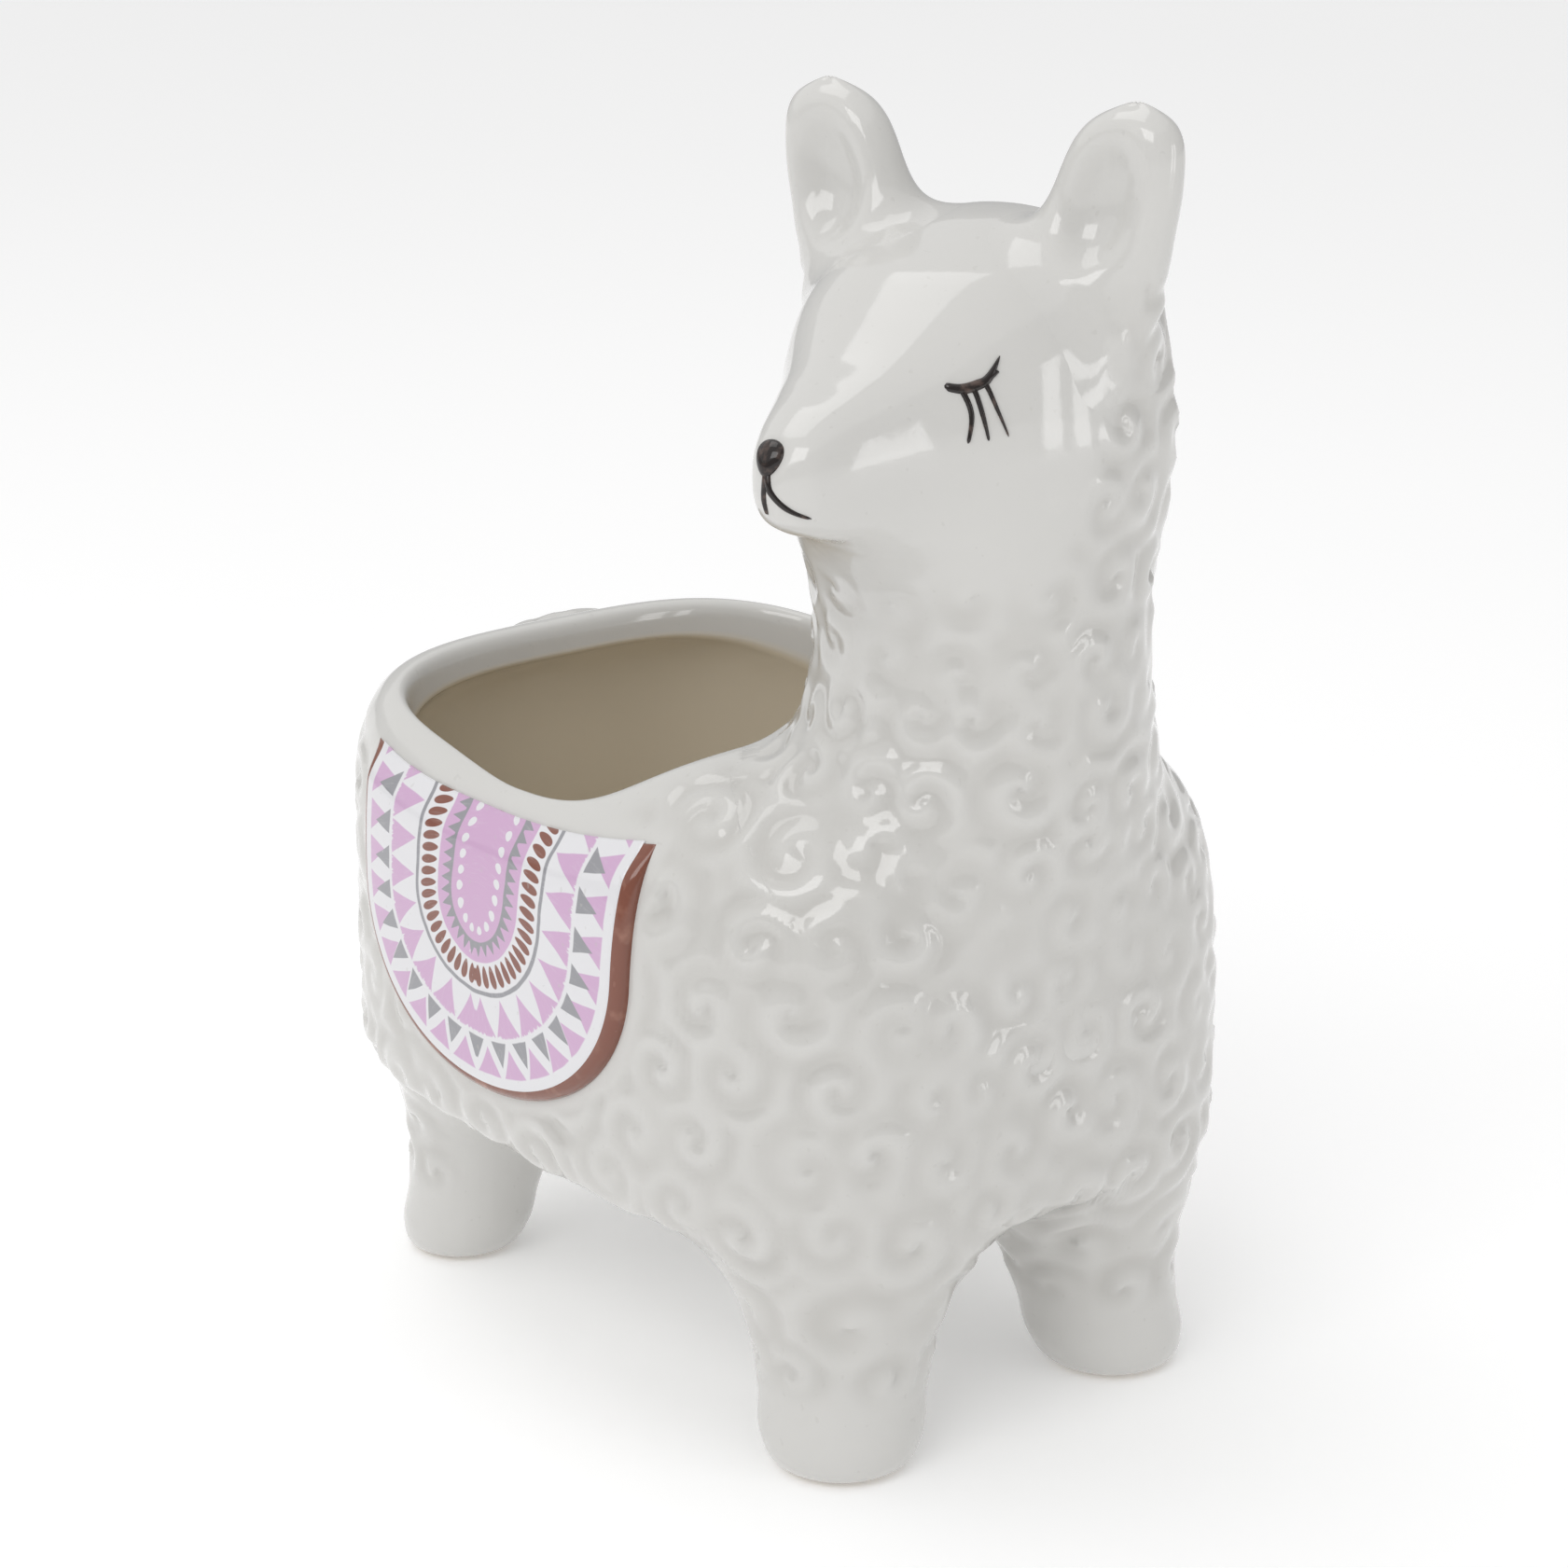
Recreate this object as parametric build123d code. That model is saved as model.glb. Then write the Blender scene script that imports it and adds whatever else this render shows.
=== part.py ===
"""Animal shaped planter: a standing pack animal with an open pot in its back.

The pot, neck and head, ears, legs and tail are pressed or cast one by one and
stuck together wet, then fired, so each is a solid that meets its neighbour on a
shared face. The saddle blankets are raised pads on the flanks with a printed
skin on top, and the face is painted enamel. Units are mm, +Z is up, the animal
faces -Y with its own right side on -X, and the feet stand on Z = 0.
"""
import os
from math import cos, pi, radians, sin

from build123d import *

os.makedirs("parts", exist_ok=True)

# Body of the pot
BODY_HALF_WIDTH = 43.0
BODY_FRONT = 57.6
BODY_REAR = 57.6
BELLY_HEIGHT = 25.0
WIDEST_HEIGHT = 38.0
CROWN_HEIGHT = 88.5
BODY_PLAN_POWER = 3.4
BELLY_POWER = 3.0
CROWN_POWER = 4.6
RUMP_POWER = 3.0
RUMP_START = 6.0
RUMP_END = 42.0
WALL = 4.5
FLOOR = 5.0
BELLY_SHARES = (0.97, 0.85, 0.6, 0.0)
CROWN_SHARES = (0.2, 0.4, 0.6, 0.78, 0.88, 0.95, 0.985)

# Opening in the back
MOUTH_HALF_WIDTH = 36.4
MOUTH_FRONT = 31.0
MOUTH_REAR = 46.2
MOUTH_PLAN_POWER = 3.6
MOUTH_LOW = 68.0
MOUTH_TALL = 26.0
NECK_SIDE_RISE = 15.0
MOUTH_HEIGHT_SHARES = (0.0, 0.35, 0.7, 1.0)
LIP_ROUND = 2.4
LIP_ROUND_SHARES = (1.0, 0.8, 0.6, 0.4)
DRAIN_RADIUS = 4.0
DRAIN_Y = 8.0
VENT_RADIUS = 4.0

# Neck and head
NECK_RADIUS = 20.6
NECK_Y = -40.0
NECK_BASE = 58.0
HEAD_TOP = 152.9
NECK_HEIGHT_SHARES = (0.0, 0.125, 0.23, 0.335, 0.44, 0.545, 0.65, 0.755, 0.837, 0.92, 0.968, 1.0)
NECK_WIDTH_SHARES = (1.45, 1.45, 1.33, 1.12, 1.0, 1.0, 1.04, 1.066, 1.02, 0.92, 0.78, 0.5)
NECK_DEPTH_SHARES = (0.97, 1.06, 1.08, 1.04, 1.0, 1.0, 1.04, 1.066, 1.02, 0.92, 0.78, 0.5)
NECK_BACK_SHARES = (0.38, 0.243, 0.146, 0.05, 0.0, 0.0, 0.0, 0.0, 0.0, 0.0, 0.0, 0.0)
HOLLOW_ABOVE_BASE = 18.0
HOLLOW_BELOW_TOP = 7.0
HOLLOW_HEIGHT_SHARES = (0.0, 0.27, 0.45, 0.78, 1.0)
HOLLOW_RADIUS_SHARES = (0.55, 0.62, 0.75, 0.85, 0.45)
HOLLOW_BACK_SHARES = (-0.2, -0.12, 0.0, 0.0, 0.0)
HEAD_TURN = 75.0
SNOUT_LENGTH = 42.8
SNOUT_BELOW_TOP = 19.9
SNOUT_DROP = 5.0
SNOUT_POWER = 2.6
SNOUT_WIDTH = 19.5
SNOUT_RUN_SHARES = (0.15, 0.35, 0.55, 0.75, 0.9, 0.97, 0.992)
SNOUT_WIDTH_SHARES = (0.93, 0.84, 0.65, 0.45, 0.3, 0.2, 0.12)
SNOUT_DEPTH_SHARES = (0.91, 0.81, 0.635, 0.47, 0.335, 0.22, 0.13)

# Ears
EAR_SPREAD = 14.2
EAR_AHEAD = 2.3
EAR_BELOW_TOP = 14.4
EAR_LENGTH = 29.8
EAR_LEAN = 7.0
EAR_HALF_WIDTH = 8.3
EAR_HALF_THICK = 5.2
EAR_RUN_SHARES = (0.0, 0.25, 0.5, 0.7, 0.85, 0.95, 1.0)
EAR_SIZE_SHARES = (0.9, 1.0, 1.0, 0.93, 0.77, 0.52, 0.26)
EAR_SCOOP_HALF_HEIGHT = 8.8
EAR_SCOOP_RADIUS = 4.8
EAR_SCOOP_SHARE = 0.62
EAR_SCOOP_AHEAD = 6.2

# Legs
LEG_SIDE_INSET = 19.7
LEG_END_INSET = 15.7
FRONT_LEG_RADIUS = 10.6
REAR_LEG_RADIUS = 9.2
LEG_HEIGHT = 34.0
LEG_LEAN = 5.2
LEG_RUN_SHARES = (0.0, 0.035, 0.11, 0.26, 0.45, 0.6, 0.75, 0.9, 1.0)
LEG_RADIUS_SHARES = (0.72, 0.86, 0.97, 1.0, 1.1, 1.26, 1.42, 1.45, 1.3)

# Tail
TAIL_HALF_WIDTH = 9.4
TAIL_HALF_DEPTH = 4.8
TAIL_INSET = -0.6
TAIL_LEAN = 5.6
TAIL_LEAN_POWER = 3.0
TAIL_SWAY = 4.0
TAIL_BOTTOM = 57.0
TAIL_BELOW_CROWN = 3.9
TAIL_RUN_SHARES = (0.0, 0.06, 0.25, 0.55, 0.8, 0.92, 0.975, 1.0)
TAIL_SIZE_SHARES = (0.2, 0.42, 0.72, 0.92, 1.0, 0.9, 0.7, 0.45)

# Saddle blankets
BLANKET_HALF_WIDTH = 29.2
BLANKET_Y = 5.2
BLANKET_BOTTOM_SHARE = 0.04
BLANKET_BEND_SHARE = 0.475
BLANKET_TOP_SHARE = 0.822
BLANKET_REACH_IN = 17.0
BLANKET_REACH_OUT = 9.0
PAD_THICK = 1.6
PAD_BORDER = 1.8
PRINT_THICK = 0.3

# Painted face
ENAMEL_THICK = 0.45
EYE_RISE = 5.4
EYE_RUN_SHARE = 0.514
EYE_FAR_RUN_SHARE = 0.28
EYE_FAR_DROP = 3.0
EYE_HALF_WIDTH = 3.7
LID_THICK = 0.9
LASH_LENGTH = 6.2
LASH_WIDTH = 0.7
LASH_PLACE_SHARES = (0.5, -0.05, -0.5)
LASH_RISE_SHARES = (0.0, 0.06, 0.2)
LASH_SWING_SHARES = (0.14, -0.06, -0.24)
LID_PLACE_SHARES = (1.0, 0.45, -0.35, -1.15)
LID_RISE_SHARES = (0.0, 0.0, 0.12, 0.62)
EYE_NEAR_SHARE = 0.2
EYE_FAR_SHARE = 1.23
NOSE_HALF_WIDTH = 1.9
NOSE_HALF_HEIGHT = 2.1
NOSE_BELOW_SNOUT = 1.6
NOSE_REACH_BACK = 8.0
NOSE_REACH_AHEAD = 8.0
NOSE_THICK = 0.9
MOUTH_LINE_WIDTH = 0.8
MOUTH_LINE_DROP = 6.6
MOUTH_LINE_HALF_SPAN = 3.4
MOUTH_STEM_SHARE = 0.1

# Heights and reaches that follow from the sizes above
CROWN_SPAN = CROWN_HEIGHT - WIDEST_HEIGHT
LEG_SPREAD = BODY_HALF_WIDTH - LEG_SIDE_INSET
LEG_FRONT_Y = LEG_END_INSET - BODY_FRONT
LEG_REAR_Y = BODY_REAR - LEG_END_INSET
TAIL_Y = BODY_REAR - TAIL_INSET
TAIL_TOP = CROWN_HEIGHT - TAIL_BELOW_CROWN
HOLLOW_BASE = NECK_BASE + HOLLOW_ABOVE_BASE
HOLLOW_TOP = HEAD_TOP - HOLLOW_BELOW_TOP
SNOUT_HEIGHT = HEAD_TOP - SNOUT_BELOW_TOP
EAR_BASE = HEAD_TOP - EAR_BELOW_TOP
EAR_SCOOP_RISE = EAR_BASE + EAR_LENGTH * EAR_SCOOP_SHARE
BLANKET_BOTTOM = WIDEST_HEIGHT + CROWN_SPAN * BLANKET_BOTTOM_SHARE
BLANKET_BEND = WIDEST_HEIGHT + CROWN_SPAN * BLANKET_BEND_SHARE
BLANKET_TOP = WIDEST_HEIGHT + CROWN_SPAN * BLANKET_TOP_SHARE
EYE_HEIGHT = SNOUT_HEIGHT + EYE_RISE
EYE_ALONG = SNOUT_LENGTH * EYE_RUN_SHARE
EYE_FAR_ALONG = SNOUT_LENGTH * EYE_FAR_RUN_SHARE
EYE_NEAR = SNOUT_WIDTH * EYE_NEAR_SHARE
EYE_FAR = SNOUT_WIDTH * EYE_FAR_SHARE
NOSE_HEIGHT = SNOUT_HEIGHT - NOSE_BELOW_SNOUT
NOSE_NEAR = SNOUT_LENGTH - NOSE_REACH_BACK
NOSE_FAR = SNOUT_LENGTH + NOSE_REACH_AHEAD

# The origin lies under the middle of the overall length
ORIGIN_SHIFT = 2.45

OVAL_POINTS = 24


def oval(half_width, front, rear, power, height, scale=1.0):
    """Closed squarish oval lying flat at one height."""
    half_length = (front + rear) / 2
    middle = (rear - front) / 2
    points = []
    for step in range(OVAL_POINTS):
        c = cos(2 * pi * step / OVAL_POINTS)
        s = sin(2 * pi * step / OVAL_POINTS)
        k = scale / (abs(c) ** power + abs(s) ** power) ** (1 / power)
        points.append((half_width * k * c, middle + half_length * k * s, height))
    return Face(Wire([Edge.make_spline(points, periodic=True)]))


def crown_oval(grow, share):
    """One level of the pot's upper half, whose curve is squarer towards the rump."""
    half_width = BODY_HALF_WIDTH + grow
    half_length = (BODY_FRONT + BODY_REAR) / 2 + grow
    middle = (BODY_REAR - BODY_FRONT) / 2
    height = WIDEST_HEIGHT + (CROWN_HEIGHT - WIDEST_HEIGHT + grow) * share
    points = []
    for step in range(OVAL_POINTS):
        c = cos(2 * pi * step / OVAL_POINTS)
        s = sin(2 * pi * step / OVAL_POINTS)
        k = (abs(c) ** BODY_PLAN_POWER + abs(s) ** BODY_PLAN_POWER) ** (-1 / BODY_PLAN_POWER)
        size = 1.0
        for _ in range(8):
            back = (middle + half_length * k * size * s - RUMP_START) / (RUMP_END - RUMP_START)
            back = min(max(back, 0.0), 1.0)
            power = CROWN_POWER + RUMP_POWER * back * back * (3 - 2 * back)
            size = (1 - share ** power) ** (1 / power)
        points.append((half_width * k * size * c, middle + half_length * k * size * s, height))
    return Face(Wire([Edge.make_spline(points, periodic=True)]))


def body_form(grow, lift=0.0):
    """The rounded box of the pot, grown outward by one length."""
    half_width = BODY_HALF_WIDTH + grow
    front = BODY_FRONT + grow
    rear = BODY_REAR + grow
    down = WIDEST_HEIGHT - BELLY_HEIGHT + grow - lift
    sections = []
    for share in BELLY_SHARES:
        size = (1 - share ** BELLY_POWER) ** (1 / BELLY_POWER)
        height = WIDEST_HEIGHT - down * share
        sections.append(oval(half_width, front, rear, BODY_PLAN_POWER, height, size))
    for share in CROWN_SHARES:
        sections.append(crown_oval(grow, share))
    return loft(sections)


def mouth_form():
    """The plug that cuts the opening; its front leans back up the neck."""
    sections = []
    for high in MOUTH_HEIGHT_SHARES:
        front = MOUTH_FRONT - NECK_SIDE_RISE * high
        height = MOUTH_LOW + MOUTH_TALL * high
        sections.append(oval(MOUTH_HALF_WIDTH, front, MOUTH_REAR, MOUTH_PLAN_POWER, height))
    return loft(sections)


def round_lip(shell):
    """The pot with its opening cut, and the edge of that opening rounded as far as it will go."""
    inner = -MOUTH_FRONT + NECK_SIDE_RISE / 2
    rim = []
    for edge in shell.edges():
        low = edge.bounding_box().min
        if low.Z > MOUTH_LOW and low.Y > inner and edge.length > DRAIN_RADIUS:
            rim.append(edge)
    for share in LIP_ROUND_SHARES:
        try:
            rounded = main_solid(fillet(rim, LIP_ROUND * share))
        except ValueError:
            continue
        if rounded.is_valid:
            return rounded
    return shell


def neck_form(grow):
    """The column of ovals from inside the shoulders to the top of the head."""
    span = HEAD_TOP - NECK_BASE
    sections = []
    rows = zip(NECK_HEIGHT_SHARES, NECK_WIDTH_SHARES, NECK_DEPTH_SHARES, NECK_BACK_SHARES)
    for high, wide, deep, back in rows:
        place = Location((0, NECK_Y + NECK_RADIUS * back, NECK_BASE + span * high + grow * high))
        sections.append(place * Ellipse(NECK_RADIUS * wide + grow, NECK_RADIUS * deep + grow))
    return loft(sections)


def neck_hollow():
    span = HOLLOW_TOP - HOLLOW_BASE
    sections = []
    for high, wide, back in zip(HOLLOW_HEIGHT_SHARES, HOLLOW_RADIUS_SHARES, HOLLOW_BACK_SHARES):
        place = Location((0, NECK_Y + NECK_RADIUS * back, HOLLOW_BASE + span * high))
        sections.append(place * Circle(NECK_RADIUS * wide))
    return loft(sections)


def head_plane(along, side, height):
    """A plane square to the face; its X is the animal's left and its Y is up."""
    turn = radians(HEAD_TURN)
    ahead = Vector(-sin(turn), -cos(turn), 0)
    left = Vector(cos(turn), -sin(turn), 0)
    place = Vector(0, NECK_Y, height) + ahead * along + left * side
    return Plane(origin=place, x_dir=left, z_dir=ahead)


def cheek_plane(along, side, height):
    """A plane square to the left cheek; its X runs to the nose, its Y is up."""
    turn = radians(HEAD_TURN)
    ahead = Vector(-sin(turn), -cos(turn), 0)
    left = Vector(cos(turn), -sin(turn), 0)
    place = Vector(0, NECK_Y, height) + ahead * along + left * side
    return Plane(origin=place, x_dir=ahead, z_dir=Vector(0, 0, 0) - left)


def snout_form(grow):
    sections = []
    for run, wide, deep in zip(SNOUT_RUN_SHARES, SNOUT_WIDTH_SHARES, SNOUT_DEPTH_SHARES):
        plane = head_plane(SNOUT_LENGTH * run + grow * run, 0, SNOUT_HEIGHT - SNOUT_DROP * run)
        half_height = SNOUT_WIDTH * deep + grow
        sections.append(plane * oval(SNOUT_WIDTH * wide + grow, half_height, half_height, SNOUT_POWER, 0))
    return loft(sections)


def head_form(grow):
    return neck_form(grow) + snout_form(grow)


def ear_form(side):
    """A thick leaf leaning outward, with a shallow hollow in its front."""
    sections = []
    for run, size in zip(EAR_RUN_SHARES, EAR_SIZE_SHARES):
        face = head_plane(EAR_AHEAD, side * (EAR_SPREAD + EAR_LEAN * run), EAR_BASE + EAR_LENGTH * run)
        flat = Plane(origin=face.origin, x_dir=face.x_dir, z_dir=(0, 0, 1))
        sections.append(flat * Ellipse(EAR_HALF_WIDTH * size, EAR_HALF_THICK * size))
    leaf = loft(sections)
    lean = EAR_LEAN * EAR_SCOOP_SHARE
    spot = head_plane(EAR_AHEAD + EAR_SCOOP_AHEAD, side * (EAR_SPREAD + lean), EAR_SCOOP_RISE)
    half = Ellipse(EAR_SCOOP_RADIUS, EAR_SCOOP_HALF_HEIGHT)
    half = half & Pos(EAR_SCOOP_HALF_HEIGHT, 0) * Rectangle(2 * EAR_SCOOP_HALF_HEIGHT, 4 * EAR_SCOOP_HALF_HEIGHT)
    scoop = revolve(half, Axis.Y)
    return leaf - Location(spot) * scoop


def leg_form(x_sign, y, radius):
    """A stump that widens as it leans in under the belly, on a rounded foot."""
    y_sign = 1 if y > 0 else -1
    sections = []
    for run, size in zip(LEG_RUN_SHARES, LEG_RADIUS_SHARES):
        x = x_sign * (LEG_SPREAD - LEG_LEAN * run)
        place = Location((x, y - y_sign * LEG_LEAN * run, LEG_HEIGHT * run))
        sections.append(place * Circle(radius * size))
    return loft(sections)


def tail_form():
    """A short plump tail that leans in over the rump and a little to one side."""
    span = TAIL_TOP - TAIL_BOTTOM
    sections = []
    for run, size in zip(TAIL_RUN_SHARES, TAIL_SIZE_SHARES):
        bend = run ** TAIL_LEAN_POWER
        place = Location((TAIL_SWAY * bend, TAIL_Y - TAIL_LEAN * bend, TAIL_BOTTOM + span * run))
        sections.append(place * Ellipse(TAIL_HALF_WIDTH * size, TAIL_HALF_DEPTH * size))
    return loft(sections)


def blanket_prism(x_sign, inset):
    """The blanket's outline, straight sides on a half oval, pushed through the flank."""
    half_width = BLANKET_HALF_WIDTH - inset
    low = Location((BLANKET_Y, BLANKET_BEND)) * Ellipse(half_width, BLANKET_BEND - BLANKET_BOTTOM - inset)
    tall = BLANKET_TOP - BLANKET_BEND
    high = Location((BLANKET_Y, BLANKET_BEND + tall / 2)) * Rectangle(2 * half_width, tall)
    roof = Location((BLANKET_Y, BLANKET_TOP + half_width)) * Rectangle(4 * half_width, 2 * half_width)
    outline = (low + high) - roof
    side = Plane.YZ.offset(BODY_HALF_WIDTH - BLANKET_REACH_IN)
    prism = extrude(side * outline, BLANKET_REACH_IN + BLANKET_REACH_OUT)
    return prism if x_sign > 0 else prism.mirror(Plane.YZ)


def stroke(points, widths):
    """A flat tapering line through points, as a face on the XY plane."""
    first = []
    second = []
    last = len(points) - 1
    for i, (x, y) in enumerate(points):
        x0, y0 = points[max(i - 1, 0)]
        x1, y1 = points[min(i + 1, last)]
        run = ((x1 - x0) ** 2 + (y1 - y0) ** 2) ** 0.5
        off_x = -(y1 - y0) / run * widths[i] / 2
        off_y = (x1 - x0) / run * widths[i] / 2
        first.append((x + off_x, y + off_y))
        second.append((x - off_x, y - off_y))
    return make_face(Polyline(*first, *reversed(second), close=True))


def eyelash_prism(mirror):
    """Closed lid with three lashes, drawn square to the cheek and pushed through it."""
    lid = []
    for place, rise in zip(LID_PLACE_SHARES, LID_RISE_SHARES):
        lid.append((EYE_HALF_WIDTH * place, EYE_HALF_WIDTH * rise))
    drawing = stroke(lid, (LID_THICK * 0.7, LID_THICK, LID_THICK, LID_THICK * 0.45))
    for place, rise, swing in zip(LASH_PLACE_SHARES, LASH_RISE_SHARES, LASH_SWING_SHARES):
        top = (EYE_HALF_WIDTH * place, EYE_HALF_WIDTH * rise)
        mid = (top[0] + LASH_LENGTH * swing * 0.3, -LASH_LENGTH * 0.5)
        low = (top[0] + LASH_LENGTH * swing, -LASH_LENGTH)
        drawing += stroke((top, mid, low), (LASH_WIDTH, LASH_WIDTH, LASH_WIDTH * 0.4))
    along, height = (EYE_FAR_ALONG, EYE_HEIGHT - EYE_FAR_DROP) if mirror else (EYE_ALONG, EYE_HEIGHT)
    plane = cheek_plane(along, EYE_FAR, height)
    prism = extrude(plane * drawing, EYE_FAR - EYE_NEAR)
    if mirror:
        prism = prism.mirror(head_midplane())
    return prism


def head_midplane():
    face = head_plane(0, 0, 0)
    return Plane(origin=face.origin, x_dir=(0, 0, 1), z_dir=face.x_dir)


def nose_prism():
    plane = head_plane(NOSE_NEAR, 0, NOSE_HEIGHT)
    return extrude(plane * Ellipse(NOSE_HALF_WIDTH, NOSE_HALF_HEIGHT), NOSE_FAR - NOSE_NEAR)


def mouth_prism():
    """A stem under the nose that forks to both sides."""
    start = -NOSE_HALF_HEIGHT * 0.9
    fork = start - (MOUTH_LINE_DROP - NOSE_HALF_HEIGHT) * MOUTH_STEM_SHARE
    drawing = stroke(((0, start), (0, fork)), (MOUTH_LINE_WIDTH, MOUTH_LINE_WIDTH))
    for side in (-1, 1):
        bend = (side * MOUTH_LINE_HALF_SPAN * 0.35, fork - MOUTH_LINE_DROP * 0.2)
        end = (side * MOUTH_LINE_HALF_SPAN, -MOUTH_LINE_DROP)
        top = (0, fork + MOUTH_LINE_WIDTH / 2)
        drawing += stroke((top, bend, end), (MOUTH_LINE_WIDTH, MOUTH_LINE_WIDTH, MOUTH_LINE_WIDTH * 0.5))
    plane = head_plane(NOSE_NEAR, 0, NOSE_HEIGHT)
    return extrude(plane * drawing, NOSE_FAR - NOSE_NEAR)


def main_solid(shape):
    """The largest solid of a result, with any crumbs from curved cuts left out."""
    return max(shape.solids(), key=lambda solid: solid.volume)


def save(node, shape):
    solid = main_solid(shape).moved(Location((0, ORIGIN_SHIFT, 0)))
    solid.label = node
    export_step(solid, "parts/" + node + ".step")


# Pot
body = body_form(0.0)
mouth = mouth_form()
cavity = body_form(-WALL, FLOOR - WALL)
drain = Location((0, DRAIN_Y, BELLY_HEIGHT)) * Cylinder(DRAIN_RADIUS, 4 * FLOOR)
vent = Location((0, NECK_Y, CROWN_HEIGHT)) * Cylinder(VENT_RADIUS, 6 * WALL)
shell = round_lip(main_solid(body - mouth))
save("bowl_body", shell - cavity - drain - vent)

# Neck and head with their hollow
head = head_form(0.0)
save("neck_and_head", head - shell - mouth - neck_hollow())
save("left_ear", ear_form(1) - head)
save("right_ear", ear_form(-1) - head)

# Legs and tail
save("front_left_leg", leg_form(1, LEG_FRONT_Y, FRONT_LEG_RADIUS) - body)
save("front_right_leg", leg_form(-1, LEG_FRONT_Y, FRONT_LEG_RADIUS) - body)
save("rear_left_leg", leg_form(1, LEG_REAR_Y, REAR_LEG_RADIUS) - body)
save("rear_right_leg", leg_form(-1, LEG_REAR_Y, REAR_LEG_RADIUS) - body)
save("tail", tail_form() - shell - mouth)

# Saddle blankets: a raised pad and its printed skin on each flank
padded = body_form(PAD_THICK)
printed = body_form(PAD_THICK + PRINT_THICK)
for node, x_sign in (("left", 1), ("right", -1)):
    save(node + "_blanket_pad", (padded & blanket_prism(x_sign, 0.0)) - body - mouth)
    save(node + "_blanket_print", (printed & blanket_prism(x_sign, PAD_BORDER)) - padded)

# Painted face
skin = head_form(ENAMEL_THICK)
save("left_eyelash", (skin & eyelash_prism(False)) - head)
save("right_eyelash", (skin & eyelash_prism(True)) - head)
save("nose", (head_form(NOSE_THICK) & nose_prism()) - head)
save("mouth_line", ((skin & mouth_prism()) - head) - nose_prism())
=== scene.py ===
from math import pi, radians
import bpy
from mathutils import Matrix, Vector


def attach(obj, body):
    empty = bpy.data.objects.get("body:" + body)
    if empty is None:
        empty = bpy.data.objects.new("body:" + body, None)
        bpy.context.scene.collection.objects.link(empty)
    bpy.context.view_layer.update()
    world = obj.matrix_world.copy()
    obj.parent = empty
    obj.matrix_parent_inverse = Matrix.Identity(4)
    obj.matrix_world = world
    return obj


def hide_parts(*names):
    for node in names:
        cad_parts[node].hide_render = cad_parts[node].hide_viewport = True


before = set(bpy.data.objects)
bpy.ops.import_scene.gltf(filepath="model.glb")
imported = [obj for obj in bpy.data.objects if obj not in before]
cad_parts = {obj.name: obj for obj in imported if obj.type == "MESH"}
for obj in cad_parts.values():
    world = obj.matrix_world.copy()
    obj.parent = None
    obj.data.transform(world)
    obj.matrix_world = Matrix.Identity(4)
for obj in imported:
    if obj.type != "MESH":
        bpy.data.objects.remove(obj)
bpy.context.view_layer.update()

from types import SimpleNamespace

import bpy
import numpy as np
from bpy.props import FloatProperty, FloatVectorProperty, PointerProperty

bl_info = {
    "name": "Animal planter",
    "version": (1, 0, 0),
    "blender": (4, 5, 0),
    "location": "View3D > Sidebar > Planter",
    "description": "Glazed animal planter built piece by piece on its packed frame",
    "category": "Object",
}

# Shape values in millimetres, measured before the origin moves under the middle
MM = 0.001
ORIGIN_SHIFT = np.array([0.0, 2.45, 0.0])
BODY = SimpleNamespace(
    half_width=43.0, half_length=57.6, belly=25.0, widest=38.0, crown=88.5,
    plan_power=3.4, belly_power=3.0, crown_power=4.6, rump_power=3.0, wall=4.5, floor=5.0)
OPENING = SimpleNamespace(
    half_width=36.4, front=31.0, rear=46.2, power=3.6, low=68.0, tall=26.0, lean=15.0,
    front_lip=1.2, front_turn=(0.55, 0.9))
DRAIN = SimpleNamespace(y=8.0, radius=4.0)
NECK = SimpleNamespace(
    radius=20.6, y=-40.0, base=58.0, top=152.4, top_round=14.0, snout_blend=9.0, throat_blend=3.5,
    places=(0.0, 0.125, 0.23, 0.335, 0.44, 0.545, 0.65, 0.755, 0.837, 0.92, 0.968, 1.0),
    width=(1.45, 1.45, 1.33, 1.12, 1.0, 1.0, 1.04, 1.066, 1.02, 0.92, 0.8, 0.62),
    depth=(0.97, 1.06, 1.08, 1.04, 1.0, 1.0, 1.04, 1.066, 1.01, 0.91, 0.83, 0.72),
    back=(0.38, 0.243, 0.146, 0.05, 0.0, 0.0, 0.0, 0.0, 0.0, 0.0, 0.0, 0.0))
SNOUT = SimpleNamespace(
    turn=75.0, length=43.4, height=133.0, drop=4.6, size=19.5, power=2.6, tip_round=4.0, back_end=4.0,
    places=(0.0, 0.15, 0.35, 0.55, 0.75, 0.9, 0.97, 1.0),
    width=(0.95, 0.93, 0.84, 0.65, 0.445, 0.285, 0.19, 0.13),
    depth=(0.93, 0.91, 0.81, 0.63, 0.46, 0.325, 0.22, 0.14))
EAR = SimpleNamespace(
    spread=14.2, base=138.5, length=29.8, lean=7.0, along=2.3, half_width=8.3, half_thick=5.2,
    places=(0.0, 0.25, 0.5, 0.7, 0.85, 0.95, 1.0),
    size=(0.9, 1.0, 1.0, 0.94, 0.8, 0.6, 0.42),
    scoop_share=0.62, scoop_ahead=6.2, scoop_radius=4.8, scoop_wide=1.05, scoop_tall=8.8, scoop_edge=2.4,
    end_round=5.0, spine_back=1.2, cap=0.1, foot=0.25, waist=0.6, brow=0.8)
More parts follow.
